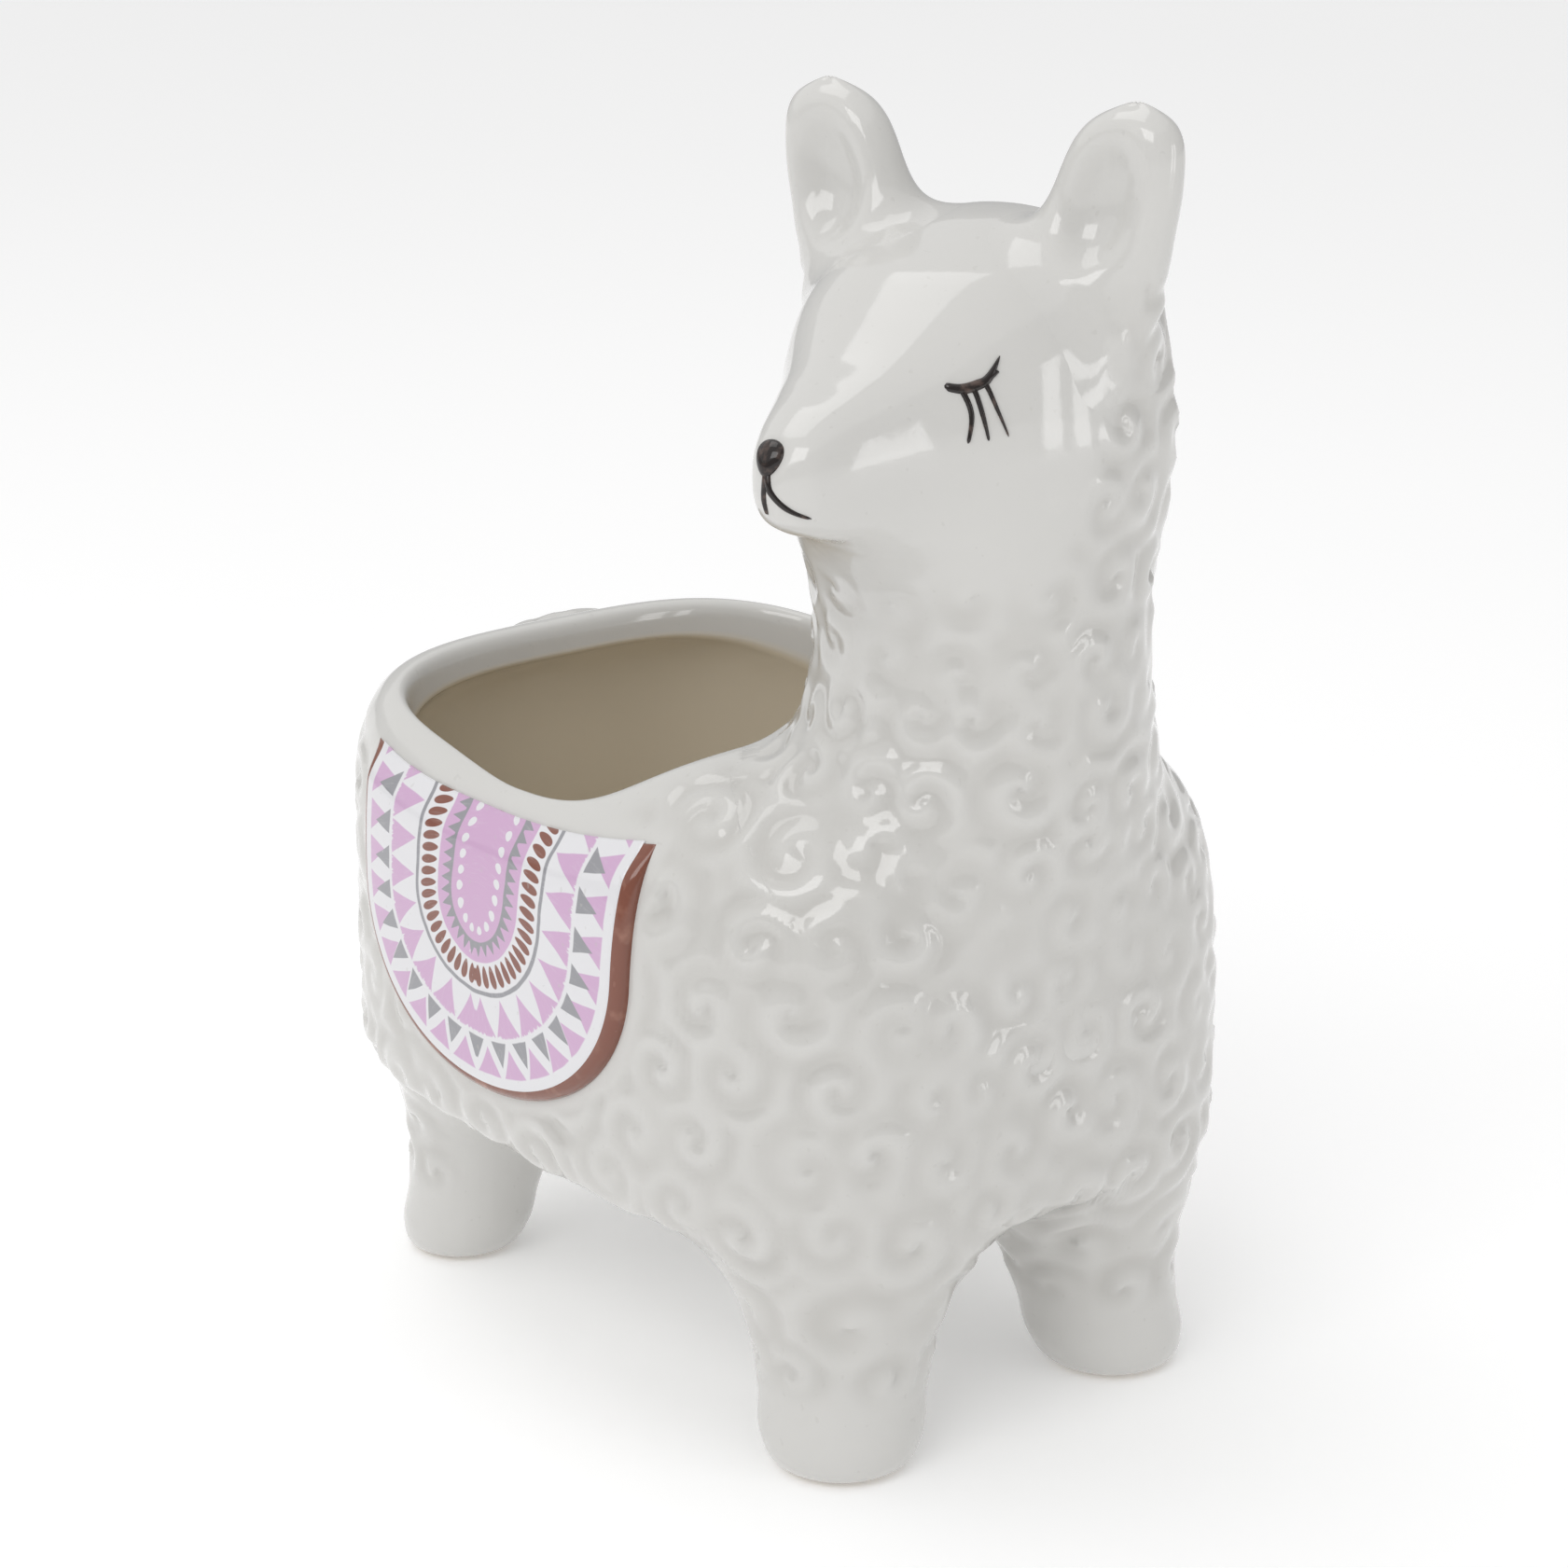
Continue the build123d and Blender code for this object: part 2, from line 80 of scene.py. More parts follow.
LEG = SimpleNamespace(
    x=23.3, y=41.9, front_radius=10.6, rear_radius=9.2, height=34.0, lean=5.2, foot_round=1.4,
    places=(0.0, 0.035, 0.11, 0.26, 0.45, 0.6, 0.75, 0.9, 1.0, 1.2),
    size=(0.74, 0.86, 0.97, 1.0, 1.1, 1.26, 1.42, 1.45, 1.3, 0.8))
TAIL = SimpleNamespace(
    half_width=9.4, half_depth=4.8, y=58.2, lean=5.6, lean_power=3.0, sway=4.0, bottom=57.0, top=84.6,
    end_round=3.0,
    places=(0.0, 0.06, 0.25, 0.55, 0.8, 0.92, 0.975, 1.0),
    size=(0.22, 0.44, 0.72, 0.92, 1.0, 0.9, 0.7, 0.48))
BLANKET = SimpleNamespace(
    half_width=29.2, y=5.2, bottom=40.0, bend=62.0, top=79.3, top_sag=2.6, border=1.8,
    bend_rise=0.2, oval_fall=0.66, edge_share=1.1, thin=0.12, fade=(-0.4, 5.0), pad_sink=0.8, print_sink=0.3)
CHART_SPAN = 100.0
EYE = SimpleNamespace(height=138.4, along=22.0, far_along=12.0, far_drop=3.0)
NOSE = SimpleNamespace(
    side=-1.1, height=131.5, half_width=1.8, half_height=1.95, rise=0.9, sink=0.4, skew=0.26, inside=24.0)
STROKE = SimpleNamespace(round_share=0.06, sink=0.3, lift=0.02, across=9)
SHOULDER = SimpleNamespace(
    opening_gap=1.4, plan_edge=0.9985, sink=0.2, sink_behind=0.9, behind=(6.0, 2.0), skin=1.8, skin_gap=0.4)
SPINE = SimpleNamespace(start=93.0, straight=105.0, bend=29.0, climb=25.0, end=35.0, fall=0.12)
WOOL = SimpleNamespace(
    seed=11, body_count=32, body_rows=(26.0, 86.0, 9.2), body_shake=2.2,
    neck_count=15, neck_rows=(70.0, 152.0, 8.6), neck_shake=2.0, jitter=0.25,
    leg_count=7, leg_rows=(14.0, 22.0), leg_jitter=0.2, leg_share=1.04,
    buried=-1.0, sizes=(0.85, 1.2), reach=150.0, bell=2.9,
    waves=(((0.31, 0.17, 0.23), 1.0), ((-0.19, 0.29, 0.33), 2.6), ((0.12, -0.37, 0.16), 4.1)))
MASK = SimpleNamespace(
    brow=138.0, face_lean=0.25, face=(3.0, 9.0), face_height=(108.0, 116.0), crown=(145.0, 150.0),
    lip=(4.0, 7.5), lip_height=(74.0, 77.0), foot=(9.0, 15.0), belly=(24.5, 28.0), belly_inset=(20.0, 26.0),
    blanket=(-3.0, -1.2), flank=(26.0, 30.0), blanket_height=(-82.0, -80.0))
COLUMNS = SimpleNamespace(bowl=440, neck=300, limb=144, tail=128, nose=64, blanket=170)
ROWS = SimpleNamespace(
    belly=14, flank=118, lip=16, wall=6, cavity=40, floor=10, shoulder_skin=12, shoulder=62, neck=22,
    bend=112, snout=14, tip=26, fan=30, leg=22, leg_fillet=56, ear_fillet=60, ear=16,
    tail=30, nose=18, blanket=130)
LEGS = (("front_left_leg", 1, -1, LEG.front_radius), ("front_right_leg", -1, -1, LEG.front_radius),
        ("rear_left_leg", 1, 1, LEG.rear_radius), ("rear_right_leg", -1, 1, LEG.rear_radius))

TURN = radians(SNOUT.turn)
AHEAD = np.array([-np.sin(TURN), -np.cos(TURN), 0.0])
LEFT = np.array([np.cos(TURN), -np.sin(TURN), 0.0])
X_WAY, Y_WAY, UP = np.eye(3)
HEAD_AXIS = np.array([0.0, NECK.y, 0.0])
SINK, EAR_SINK = 0.12, 0.02
FEATHER_SHARE = 0.98
NO_TRIS = np.zeros((0, 3), int)


# Small tools for whole arrays

def blend_min(a, b, reach):
    """Smaller of two distances, eased by a parabola where they differ by less than reach."""
    ease = np.maximum(reach - np.abs(a - b), 0.0)
    return np.minimum(a, b) - ease * ease / (4 * reach)


def blend_max(a, b, reach):
    """Larger of two distances, eased by the same parabola."""
    return -blend_min(-a, -b, reach)


def ramp(value, low, high):
    """Smooth step: 0 at low, 1 at high, with level ends."""
    share = np.clip((value - low) / (high - low), 0.0, 1.0)
    return share * share * (3 - 2 * share)


def turns(count):
    """Even angles round a ring."""
    return np.arange(count) * 2 * pi / count


def turned(angle, first, second):
    """Directions turned by an angle from a first one towards a second one."""
    return np.cos(angle)[..., None] * first + np.sin(angle)[..., None] * second


def halve(outside, low, high, shape, rounds=32):
    """Halves each gap round the place where outside becomes true; returns its two ends."""
    low, high = np.full(shape, low), np.full(shape, high)
    for _ in range(rounds):
        middle = (low + high) / 2
        out = outside(middle)
        high = np.where(out, middle, high)
        low = np.where(out, low, middle)
    return low, high


def profile(places, values, count=600):
    """Cubic through the pairs with slopes from their neighbours, sampled finely with its slope."""
    x, y = np.asarray(places, float), np.asarray(values, float)
    slope = np.gradient(y, x)
    at = np.linspace(x[0], x[-1], count)
    i = np.clip(np.searchsorted(x, at, side="right") - 1, 0, len(x) - 2)
    span = x[i + 1] - x[i]
    q = (at - x[i]) / span
    curve = (y[i] * (1 + 2 * q) * (1 - q) ** 2 + slope[i] * span * q * (1 - q) ** 2
             + y[i + 1] * q * q * (3 - 2 * q) + slope[i + 1] * span * q * q * (q - 1))
    return at, curve, np.gradient(curve, at)


def read(table, share):
    """Value and slope of a sampled profile at each share."""
    return np.interp(share, table[0], table[1]), np.interp(share, table[0], table[2])


NECK_WIDTH = profile(NECK.places, NECK.width)
NECK_DEPTH = profile(NECK.places, NECK.depth)
NECK_BACK = profile(NECK.places, NECK.back)
SNOUT_WIDTH = profile(SNOUT.places, SNOUT.width)
SNOUT_DEPTH = profile(SNOUT.places, SNOUT.depth)
EAR_SIZE = profile(EAR.places, EAR.size)
LEG_SIZE = profile(LEG.places, LEG.size)
TAIL_SIZE = profile(TAIL.places, TAIL.size)


# Distance fields: negative inside, about true millimetres near the surface

def oval_reach(x, y, half_x, half_y, power):
    """Share of a squarish oval at which a point lies, 1 on its edge, and its slope along x and y."""
    u, v = np.abs(x) / half_x, np.abs(y) / half_y
    share = np.maximum((u ** power + v ** power) ** (1 / power), 1e-6)
    slope_x = np.sign(x) * (u / share) ** (power - 1) / half_x
    slope_y = np.sign(y) * (v / share) ** (power - 1) / half_y
    return share, slope_x, slope_y


def crown_power(y):
    """Power of the upper curve: squarer towards the rump, where the rim stands higher."""
    return BODY.crown_power + BODY.rump_power * ramp(y, 6.0, 42.0)


def body_field(p, grow=0.0):
    """Rounded box of the pot: a squarish oval in plan and a second power curve in height."""
    r, rx, ry = oval_reach(p[..., 0], p[..., 1], BODY.half_width + grow,
                           BODY.half_length + grow, BODY.plan_power)
    lift = p[..., 2] - BODY.widest
    tall = np.where(lift > 0, BODY.crown - BODY.widest, BODY.widest - BODY.belly) + grow
    power = np.where(lift > 0, crown_power(p[..., 1]), BODY.belly_power)
    w = np.abs(lift) / tall
    share = np.maximum((r ** power + w ** power) ** (1 / power), 1e-6)
    by_r = (r / share) ** (power - 1)
    by_w = (w / share) ** (power - 1) / tall
    return (share - 1) / np.sqrt(by_r ** 2 * (rx ** 2 + ry ** 2) + by_w ** 2)


def slope_normal(field, p):
    """Outward direction at a point: the slope of a field, by small steps each way."""
    step = 0.05
    slopes = [field(p + step * axis) - field(p - step * axis) for axis in np.eye(3)]
    normal = np.stack(slopes, -1)
    return normal / np.maximum(np.linalg.norm(normal, axis=-1, keepdims=True), 1e-9)


def plan_reach(x, y, grow=0.0):
    """Share of the pot's plan at which a point lies."""
    return oval_reach(x, y, BODY.half_width + grow, BODY.half_length + grow, BODY.plan_power)[0]


def body_top(x, y, grow=0.0):
    """Height of the pot's upper surface over a point of its plan."""
    r = np.minimum(plan_reach(x, y, grow), 0.9995)
    tall = BODY.crown - BODY.widest + grow
    power = crown_power(y)
    return BODY.widest + tall * (1 - r ** power) ** (1 / power)


def body_bottom(x, y, wall=0.0, lift=0.0):
    """Height of the pot's underside, or of its floor one wall further in."""
    r = np.minimum(plan_reach(x, y, -wall), 0.995)
    tall = BODY.widest - BODY.belly - wall - lift
    return BODY.widest - tall * (1 - r ** BODY.belly_power) ** (1 / BODY.belly_power)


def opening_oval(z):
    """Middle and half length of the opening, whose front leans back with height."""
    front = OPENING.front - OPENING.lean * (z - OPENING.low) / OPENING.tall
    return (OPENING.rear - front) / 2, (OPENING.rear + front) / 2


def opening_reach(p):
    """Share of the opening's oval at which a point lies, and its slope along x and y."""
    middle, half = opening_oval(p[..., 2])
    return oval_reach(p[..., 0], p[..., 1] - middle, OPENING.half_width, half, OPENING.power)


def opening_field(p):
    """Distance from the opening's wall, negative within the opening."""
    r, rx, ry = opening_reach(p)
    return (r - 1) / np.sqrt(rx ** 2 + ry ** 2 + 1e-12)


def pot_field(p, lip):
    """The pot less its opening, with the lip rounded over; the cavity is left out."""
    return blend_max(body_field(p), -opening_field(p), lip)


def ellipse_field(x, y, half_x, half_y, growth=0.0, power=2.0):
    """Distance from an ellipse, made shorter where the section grows along its axis.

    A power over two makes the ellipse squarer.
    """
    x, y = np.abs(x / half_x), np.abs(y / half_y)
    e = np.maximum((x ** power + y ** power) ** (1 / power), 1e-4)
    slope = np.hypot(x ** (power - 1) / half_x, y ** (power - 1) / half_y) / e ** (power - 1)
    return (e - 1) / np.sqrt(slope ** 2 + (growth * e) ** 2 + 1e-12)


def neck_field(p):
    """Column of ellipses up the neck, rounded off at the top of the head."""
    span = NECK.top - NECK.base
    share = (p[..., 2] - NECK.base) / span
    wide, slope = read(NECK_WIDTH, share)
    deep = read(NECK_DEPTH, share)[0]
    back = read(NECK_BACK, share)[0]
    y = p[..., 1] - NECK.y - NECK.radius * back
    column = ellipse_field(p[..., 0], y, NECK.radius * wide, NECK.radius * deep, slope / wide / span)
    return blend_max(column, p[..., 2] - NECK.top, NECK.top_round)


def head_place(p):
    """A point in the head's own frame: ahead, to its left, and height."""
    q = p - HEAD_AXIS
    return q @ AHEAD, q @ LEFT, p[..., 2]


def snout_field(p):
    """Squarish ovals carried forward from the head, closed by a rounded tip."""
    along, side, z = head_place(p)
    share = along / SNOUT.length
    wide, slope = read(SNOUT_WIDTH, share)
    deep = read(SNOUT_DEPTH, share)[0]
    up = z - SNOUT.height + SNOUT.drop * share
    form = ellipse_field(side, up, SNOUT.size * wide, SNOUT.size * deep,
                         slope / wide / SNOUT.length, SNOUT.power)
    form = blend_max(form, along - SNOUT.length, SNOUT.tip_round)
    return np.maximum(form, -along - SNOUT.back_end)


def head_field(p):
    """Neck and snout run together over a soft bend, fuller at the throat."""
    throat = ramp(SNOUT.height - p[..., 2], 6.0, 14.0) * ramp(head_place(p)[0], 4.0, 14.0)
    return blend_min(neck_field(p), snout_field(p), NECK.snout_blend + NECK.throat_blend * throat)


def ear_field(p, side):
    """Leaf of ellipses leaning outward, with a spoon hollow in its front."""
    along, across, z = head_place(p)
    along = along - EAR.along
    share = (z - EAR.base) / EAR.length
    size, slope = read(EAR_SIZE, share)
    across = across * side - EAR.spread - EAR.lean * share
    leaf = ellipse_field(across, along, EAR.half_width * size, EAR.half_thick * size,
                         slope / size / EAR.length)
    leaf = blend_max(leaf, z - EAR.base - EAR.length, EAR.end_round)
    leaf = blend_max(leaf, EAR.base - z, EAR.end_round)
    deep = (along - EAR.scoop_ahead) / EAR.scoop_radius
    wide = across / (EAR.scoop_radius * EAR.scoop_wide)
    tall = (z - EAR.base - EAR.length * EAR.scoop_share) / EAR.scoop_tall
    scoop = (np.sqrt(deep ** 2 + wide ** 2 + tall ** 2) - 1) * EAR.scoop_radius
    return blend_max(leaf, -scoop, EAR.scoop_edge)


def leg_axis(x_sign, y_sign, z):
    """Points of a leg's leaning axis at the given heights."""
    z = np.asarray(z, float)
    lean = LEG.lean * (z / LEG.height)
    return np.stack([x_sign * (LEG.x - lean), y_sign * (LEG.y - lean), z], -1)


def leg_field(p, x_sign, y_sign, radius):
    """Round stump that leans in and widens under the belly, with a flat rounded foot."""
    share = np.clip(p[..., 2] / LEG.height, 0.0, LEG.places[-1])
    size, slope = read(LEG_SIZE, share)
    x = p[..., 0] - x_sign * (LEG.x - LEG.lean * share)
    y = p[..., 1] - y_sign * (LEG.y - LEG.lean * share)
    stump = (np.hypot(x, y) - radius * size) / np.hypot(1.0, slope * radius / LEG.height)
    return blend_max(stump, -p[..., 2], LEG.foot_round)


def tail_field(p):
    """Plump ellipses carried up the rump, leaning in and to one side with the cube of their rise."""
    share = (p[..., 2] - TAIL.bottom) / (TAIL.top - TAIL.bottom)
    size, slope = read(TAIL_SIZE, share)
    rise = np.clip(share, 0, 1) ** TAIL.lean_power
    x, y = p[..., 0] - TAIL.sway * rise, p[..., 1] - TAIL.y + TAIL.lean * rise
    form = ellipse_field(x, y, TAIL.half_width * size, TAIL.half_depth * size,
                         slope / size / (TAIL.top - TAIL.bottom))
    form = blend_max(form, p[..., 2] - TAIL.top, TAIL.end_round)
    return blend_max(form, TAIL.bottom - p[..., 2], TAIL.end_round)


def stuck_on(form, parent, reach):
    """A form with a fillet of clay that feathers out on its parent at reach from the form."""
    return np.maximum(blend_min(form, parent, reach), form - reach)


def cast(origin, direction, field, near, far, steps=40, halvings=15):
    """First crossing of a field along each ray: a coarse march, then halving the gap."""
    shape = np.broadcast_shapes(origin.shape, direction.shape)[:-1]
    gap = (far - near) / steps
    hit = np.full(shape, far)
    done = np.zeros(shape, bool)
    for step in range(1, steps + 1):
        reach = near + gap * step
        fresh = ~done & (field(origin + direction * reach) > 0)
        hit[fresh] = reach
        done |= fresh

    def outside(reach):
        return field(origin + direction * reach[..., None]) > 0

    first_out = halve(outside, hit - gap, hit, shape, halvings)[1]
    return origin + direction * first_out[..., None]


class Rays:
    """Rows of rays, one for each row of a grid, each with its own origin and directions."""

    def __init__(self, level):
        self.level, self.origins, self.ways = level, [], []

    def row(self, origin, way=None):
        self.origins.append(np.broadcast_to(origin, self.level.shape))
        self.ways.append(self.level if way is None else way)

    def fan(self, origin, tilts):
        for tilt in tilts:
            self.row(origin, turned(tilt, self.level, UP))

    def hits(self, field, near, far):
        return cast(np.stack(self.origins), np.stack(self.ways), field, near, far)


def run_out(start, level, skin, form, reach, span, tilts):
    """Tilt of each ray at which the fillet of a form runs out on its parent, by halving."""
    def outside(tilt):
        hit = cast(start, turned(tilt, level, UP), skin, *span)
        return form(hit) > FEATHER_SHARE * reach

    return halve(outside, *tilts, len(level), 20)[0]


# Wool: curls carved round seeds spread over the whole animal

def wool_seeds():
    """Jittered seeds on the pot, neck and legs, each with its own tangents, hand and phase."""
    draw = np.random.default_rng(WOOL.seed)
    places, normals = [], []

    def ring(count, shift, jitter):
        return (np.arange(count) + shift + draw.uniform(-jitter, jitter, count)) * 2 * pi / count

    def keep_free(p, normal, other):
        free = other(p) > WOOL.buried
        places.append(p[free])
        normals.append(normal[free])

    n = BODY.plan_power
    for row, z in enumerate(np.arange(*WOOL.body_rows)):
        turn = ring(WOOL.body_count, 0.5 * (row % 2), WOOL.jitter)
        c, s = np.cos(turn), np.sin(turn)
        lift = z + draw.uniform(-WOOL.body_shake, WOOL.body_shake, WOOL.body_count) - BODY.widest
        tall = np.where(lift > 0, BODY.crown - BODY.widest, BODY.widest - BODY.belly)
        power = np.where(lift > 0, BODY.crown_power, BODY.belly_power)
        size = (1 - np.clip(np.abs(lift) / tall, 0, 0.97) ** power) ** (1 / power)
        k = size / (np.abs(c) ** n + np.abs(s) ** n) ** (1 / n)
        p = np.stack([BODY.half_width * k * c, BODY.half_length * k * s, BODY.widest + lift], -1)
        keep_free(p, slope_normal(body_field, p), neck_field)
    for row, z in enumerate(np.arange(*WOOL.neck_rows)):
        out = turned(ring(WOOL.neck_count, 0.5 * (row % 2), WOOL.jitter), X_WAY, Y_WAY)
        shake = draw.uniform(-WOOL.neck_shake, WOOL.neck_shake, WOOL.neck_count)
        start = HEAD_AXIS + UP * (z + shake)[:, None]
        keep_free(cast(start, out, neck_field, 5.0, 40.0), out, body_field)
    for _, x_sign, y_sign, radius in LEGS:
        for row, z in enumerate(WOOL.leg_rows):
            out = turned(ring(WOOL.leg_count, 0.5 * row, WOOL.leg_jitter), X_WAY, Y_WAY)
            places.append(leg_axis(x_sign, y_sign, z) + out * radius * WOOL.leg_share)
            normals.append(out)
    place, normal = np.concatenate(places), np.concatenate(normals)
    flat = np.cross(UP, normal)
    flat /= np.maximum(np.linalg.norm(flat, axis=-1, keepdims=True), 1e-6)
    rise = np.cross(normal, flat)
    count = len(place)
    hand = np.where(draw.uniform(size=count) < 0.5, -1.0, 1.0)
    return place, flat, rise, hand, draw.uniform(0, 1, count), draw.uniform(*WOOL.sizes, count)


SEEDS = wool_seeds()


def curl_relief(p, pitch):
    """Soft spirals round the seeds, run together by weights that fall off as a bell.

    Each seed gives the cosine of its distance over the pitch less its turn, which is a
    spiral; long slow waves in three directions make some locks bolder than others.
    """
    place, flat, rise, hand, phase, size = SEEDS
    flat_p = p.reshape(-1, 3)
    total = np.zeros(len(flat_p))
    weight = np.full(len(flat_p), 1e-6)
    for i in range(len(place)):
        gap = ((flat_p - place[i]) ** 2).sum(-1)
        near = np.nonzero(gap < WOOL.reach)[0]
        away = flat_p[near] - place[i]
        u, v = away @ flat[i], away @ rise[i]
        turn = hand[i] * np.arctan2(v, u) / (2 * pi)
        coil = np.sqrt(gap[near]) / (pitch * size[i]) - turn + phase[i]
        bell = np.exp(-gap[near] / (2 * (WOOL.bell * size[i]) ** 2))
        total[near] += bell * np.cos(2 * pi * coil)
        weight[near] += bell
    waves = sum(np.sin(flat_p @ np.array(way) + start) for way, start in WOOL.waves) / len(WOOL.waves)
    height = 0.5 + 0.5 * total / weight * (0.75 + 0.4 * waves)
    return height.reshape(p.shape[:-1])


def wool_mask(p):
    """Where the wool is carved: not on the face, crown, lip, belly, blankets or feet."""
    along, _, z = head_place(p)
    ahead = along - MASK.face_lean * np.maximum(MASK.brow - z, 0)
    face = ramp(ahead, *MASK.face) * ramp(z, *MASK.face_height)
    crown = ramp(z, *MASK.crown)
    lip = (1 - ramp(opening_field(p), *MASK.lip)) * ramp(z, *MASK.lip_height)
    foot = 1 - ramp(z, *MASK.foot)
    under = (1 - ramp(z, *MASK.belly)) * ramp(BODY.half_length - np.abs(p[..., 1]), *MASK.belly_inset)
    depth = blanket_level(p[..., 1], z)[0]
    blanket = ramp(depth, *MASK.blanket) * ramp(-z, *MASK.blanket_height)
    blanket = blanket * ramp(np.abs(p[..., 0]), *MASK.flank)
    keep = (1 - face) * (1 - crown) * (1 - lip) * (1 - foot) * (1 - under) * (1 - blanket)
    return np.clip(keep, 0.0, 1.0)


def carve(points, size, field, extra=1.0):
    """Moves a grid along a field's slope by the wool; returns it with a share of painted shade that darkens
    the grooves.
    """
    mask = wool_mask(points) * extra
    relief = curl_relief(points, size.curl_pitch)
    rise = mask * (relief - 0.5) * size.wool_depth
    return points + slope_normal(field, points) * rise[..., None], mask * (1 - relief)


# Meshes

def link(name, data):
    """Puts a new object for some data into the scene."""
    made = bpy.data.objects.new(name, data)
    bpy.context.scene.collection.objects.link(made)
    return made


def add_object(name, points, loops, starts, material, node, slot, layers=None, bands=None):
    """Puts arrays of points in mm and face loops into a mesh that stands for one CAD node."""
    mesh = bpy.data.meshes.new(name)
    counts = np.diff(np.append(starts, len(loops)))
    mesh.vertices.add(len(points))
    mesh.loops.add(len(loops))
    mesh.polygons.add(len(starts))
    mesh.vertices.foreach_set("co", ((points + ORIGIN_SHIFT) * MM).astype(np.float32).ravel())
    mesh.loops.foreach_set("vertex_index", loops.astype(np.int32))
    mesh.polygons.foreach_set("loop_start", starts.astype(np.int32))
    mesh.polygons.foreach_set("loop_total", counts.astype(np.int32))
    mesh.polygons.foreach_set("use_smooth", np.ones(len(starts), bool))
    mesh.update(calc_edges=True)
    if mesh.validate():
        raise RuntimeError(name + " has faces that are not valid")
    for layer, values in (layers or {}).items():
        data = mesh.attributes.new(layer, "FLOAT", "POINT").data
        data.foreach_set("value", values.astype(np.float32))
    if bands is not None:
        chart = mesh.uv_layers.new(name="Bands")
        chart.data.foreach_set("uv", bands[loops].astype(np.float32).ravel())
    mesh.materials.append(material)
    piece = link(name, mesh)
    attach(piece, "root")
    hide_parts(node)


def outward(points, quads, tris=NO_TRIS):
    """Turns faces over where the volume they enclose comes out negative."""
    def volume(faces):
        a, b, c = points[faces[:, 0]], points[faces[:, 1]], points[faces[:, 2]]
        return (a * np.cross(b, c)).sum()
    total = volume(tris) if len(tris) else 0.0
    if len(quads):
        total += volume(quads[:, [0, 1, 2]]) + volume(quads[:, [0, 2, 3]])
    if total < 0:
        quads, tris = quads[:, ::-1], tris[:, ::-1]
    loops = np.concatenate([quads.ravel(), tris.ravel()]).astype(int)
    starts = np.concatenate([np.arange(len(quads)) * 4, len(quads) * 4 + np.arange(len(tris)) * 3])
    return loops, starts


def grid_faces(rows, cols, close_rows=False, close_cols=False):
    """Quads of a grid whose rows or columns may close on themselves."""
    r = np.arange(rows if close_rows else rows - 1)[:, None]
    c = np.arange(cols if close_cols else cols - 1)[None, :]
    r1, c1 = (r + 1) % rows, (c + 1) % cols
    quads = np.stack([r * cols + c, r * cols + c1, r1 * cols + c1, r1 * cols + c], -1)
    return quads.reshape(-1, 4)


def closed_tube(grid, layers):
    """A tube grid closed at both ends by fans to a pole in the middle of each end row."""
    rows, cols = grid.shape[:2]
    points = np.concatenate([grid.reshape(-1, 3), grid[:1].mean(1), grid[-1:].mean(1)])
    quads = grid_faces(rows, cols, close_cols=True)
    c = np.arange(cols)
    c1 = (c + 1) % cols
    first = np.stack([np.full(cols, rows * cols), c1, c], -1)
    last = (rows - 1) * cols
    final = np.stack([np.full(cols, rows * cols + 1), last + c, last + c1], -1)
    loops, starts = outward(points, quads, np.concatenate([first, final]))
    full = {k: np.concatenate([v.ravel(), v[:1].mean(1), v[-1:].mean(1)]) for k, v in layers.items()}
    return points, loops, starts, full


def add_glazed(node, grid, shade_and_streak_share, colours):
    """A closed tube with the milky glaze, for one CAD node."""
    points, loops, starts, layers = closed_tube(grid, {"shade_and_streak_share": shade_and_streak_share, "inside": np.zeros(shade_and_streak_share.shape)})
    add_object(node + "_glazed", points, loops, starts, glaze_material(colours), node, "glaze", layers)


def slab(top, bottom):
    """A closed thin slab between two grids of the same size, stitched round its border."""
    rows, cols = top.shape[:2]
    count = rows * cols
    points = np.concatenate([top.reshape(-1, 3), bottom.reshape(-1, 3)])
    upper = grid_faces(rows, cols)
    lower = upper[:, ::-1] + count
    ring = np.concatenate([np.arange(cols), cols * np.arange(1, rows) + cols - 1,
                           count - 2 - np.arange(cols - 1), cols * np.arange(rows - 2, 0, -1)])
    ahead = np.roll(ring, -1)
    side = np.stack([ahead, ring, ring + count, ahead + count], -1)
    return points, *outward(points, np.concatenate([upper, lower, side]))


def join(parts):
    """Several closed meshes as one, with their indices moved on."""
    points, loops, starts, done, used = [], [], [], 0, 0
    for p, l, s in parts:
        points.append(p)
        loops.append(l + done)
        starts.append(s + used)
        done += len(p)
        used += len(l)
    return np.concatenate(points), np.concatenate(loops), np.concatenate(starts)


# Blanket outline: nested arches, straight sides on half ovals

def blanket_level(y, z):
    """Depth in from the blanket's edge, share of the half oval from its lowest point, and rise above it.

    Each depth has its own arch: narrower by the depth on each side, its straight sides start
    a little higher, and a half oval closes it below. The depth is found by halving.
    """
    across = np.abs(y - BLANKET.y)

    def outside(depth):
        width, start, tall = arch(depth)
        drop = np.maximum(start - z, 0.0) / tall
        return (across / width) ** 2 + drop ** 2 > 1

    depth = halve(outside, -12.0, BLANKET.half_width - 0.01, np.shape(across), 30)[0]
    width, start, tall = arch(depth)
    angle = np.arctan2(np.maximum(start - z, 0) / tall, across / width)
    return depth, 1 - angle / (pi / 2), np.maximum(z - start, 0)


def arch(depth):
    """Half width, height where the sides end, and fall of the half oval, at a depth from the edge."""
    width = BLANKET.half_width - depth
    start = BLANKET.bend + BLANKET.bend_rise * depth
    tall = BLANKET.bend - BLANKET.bottom - BLANKET.oval_fall * depth
    return width, start, tall


def flank(y, z, lip):
    """Half width of the pot's flank with its rounded lip at a length and height, by halving."""
    def outside(x):
        return pot_field(np.stack([x, y, z], -1), lip) > 0

    return halve(outside, 37.0, 46.0, y.shape, 30)[0]


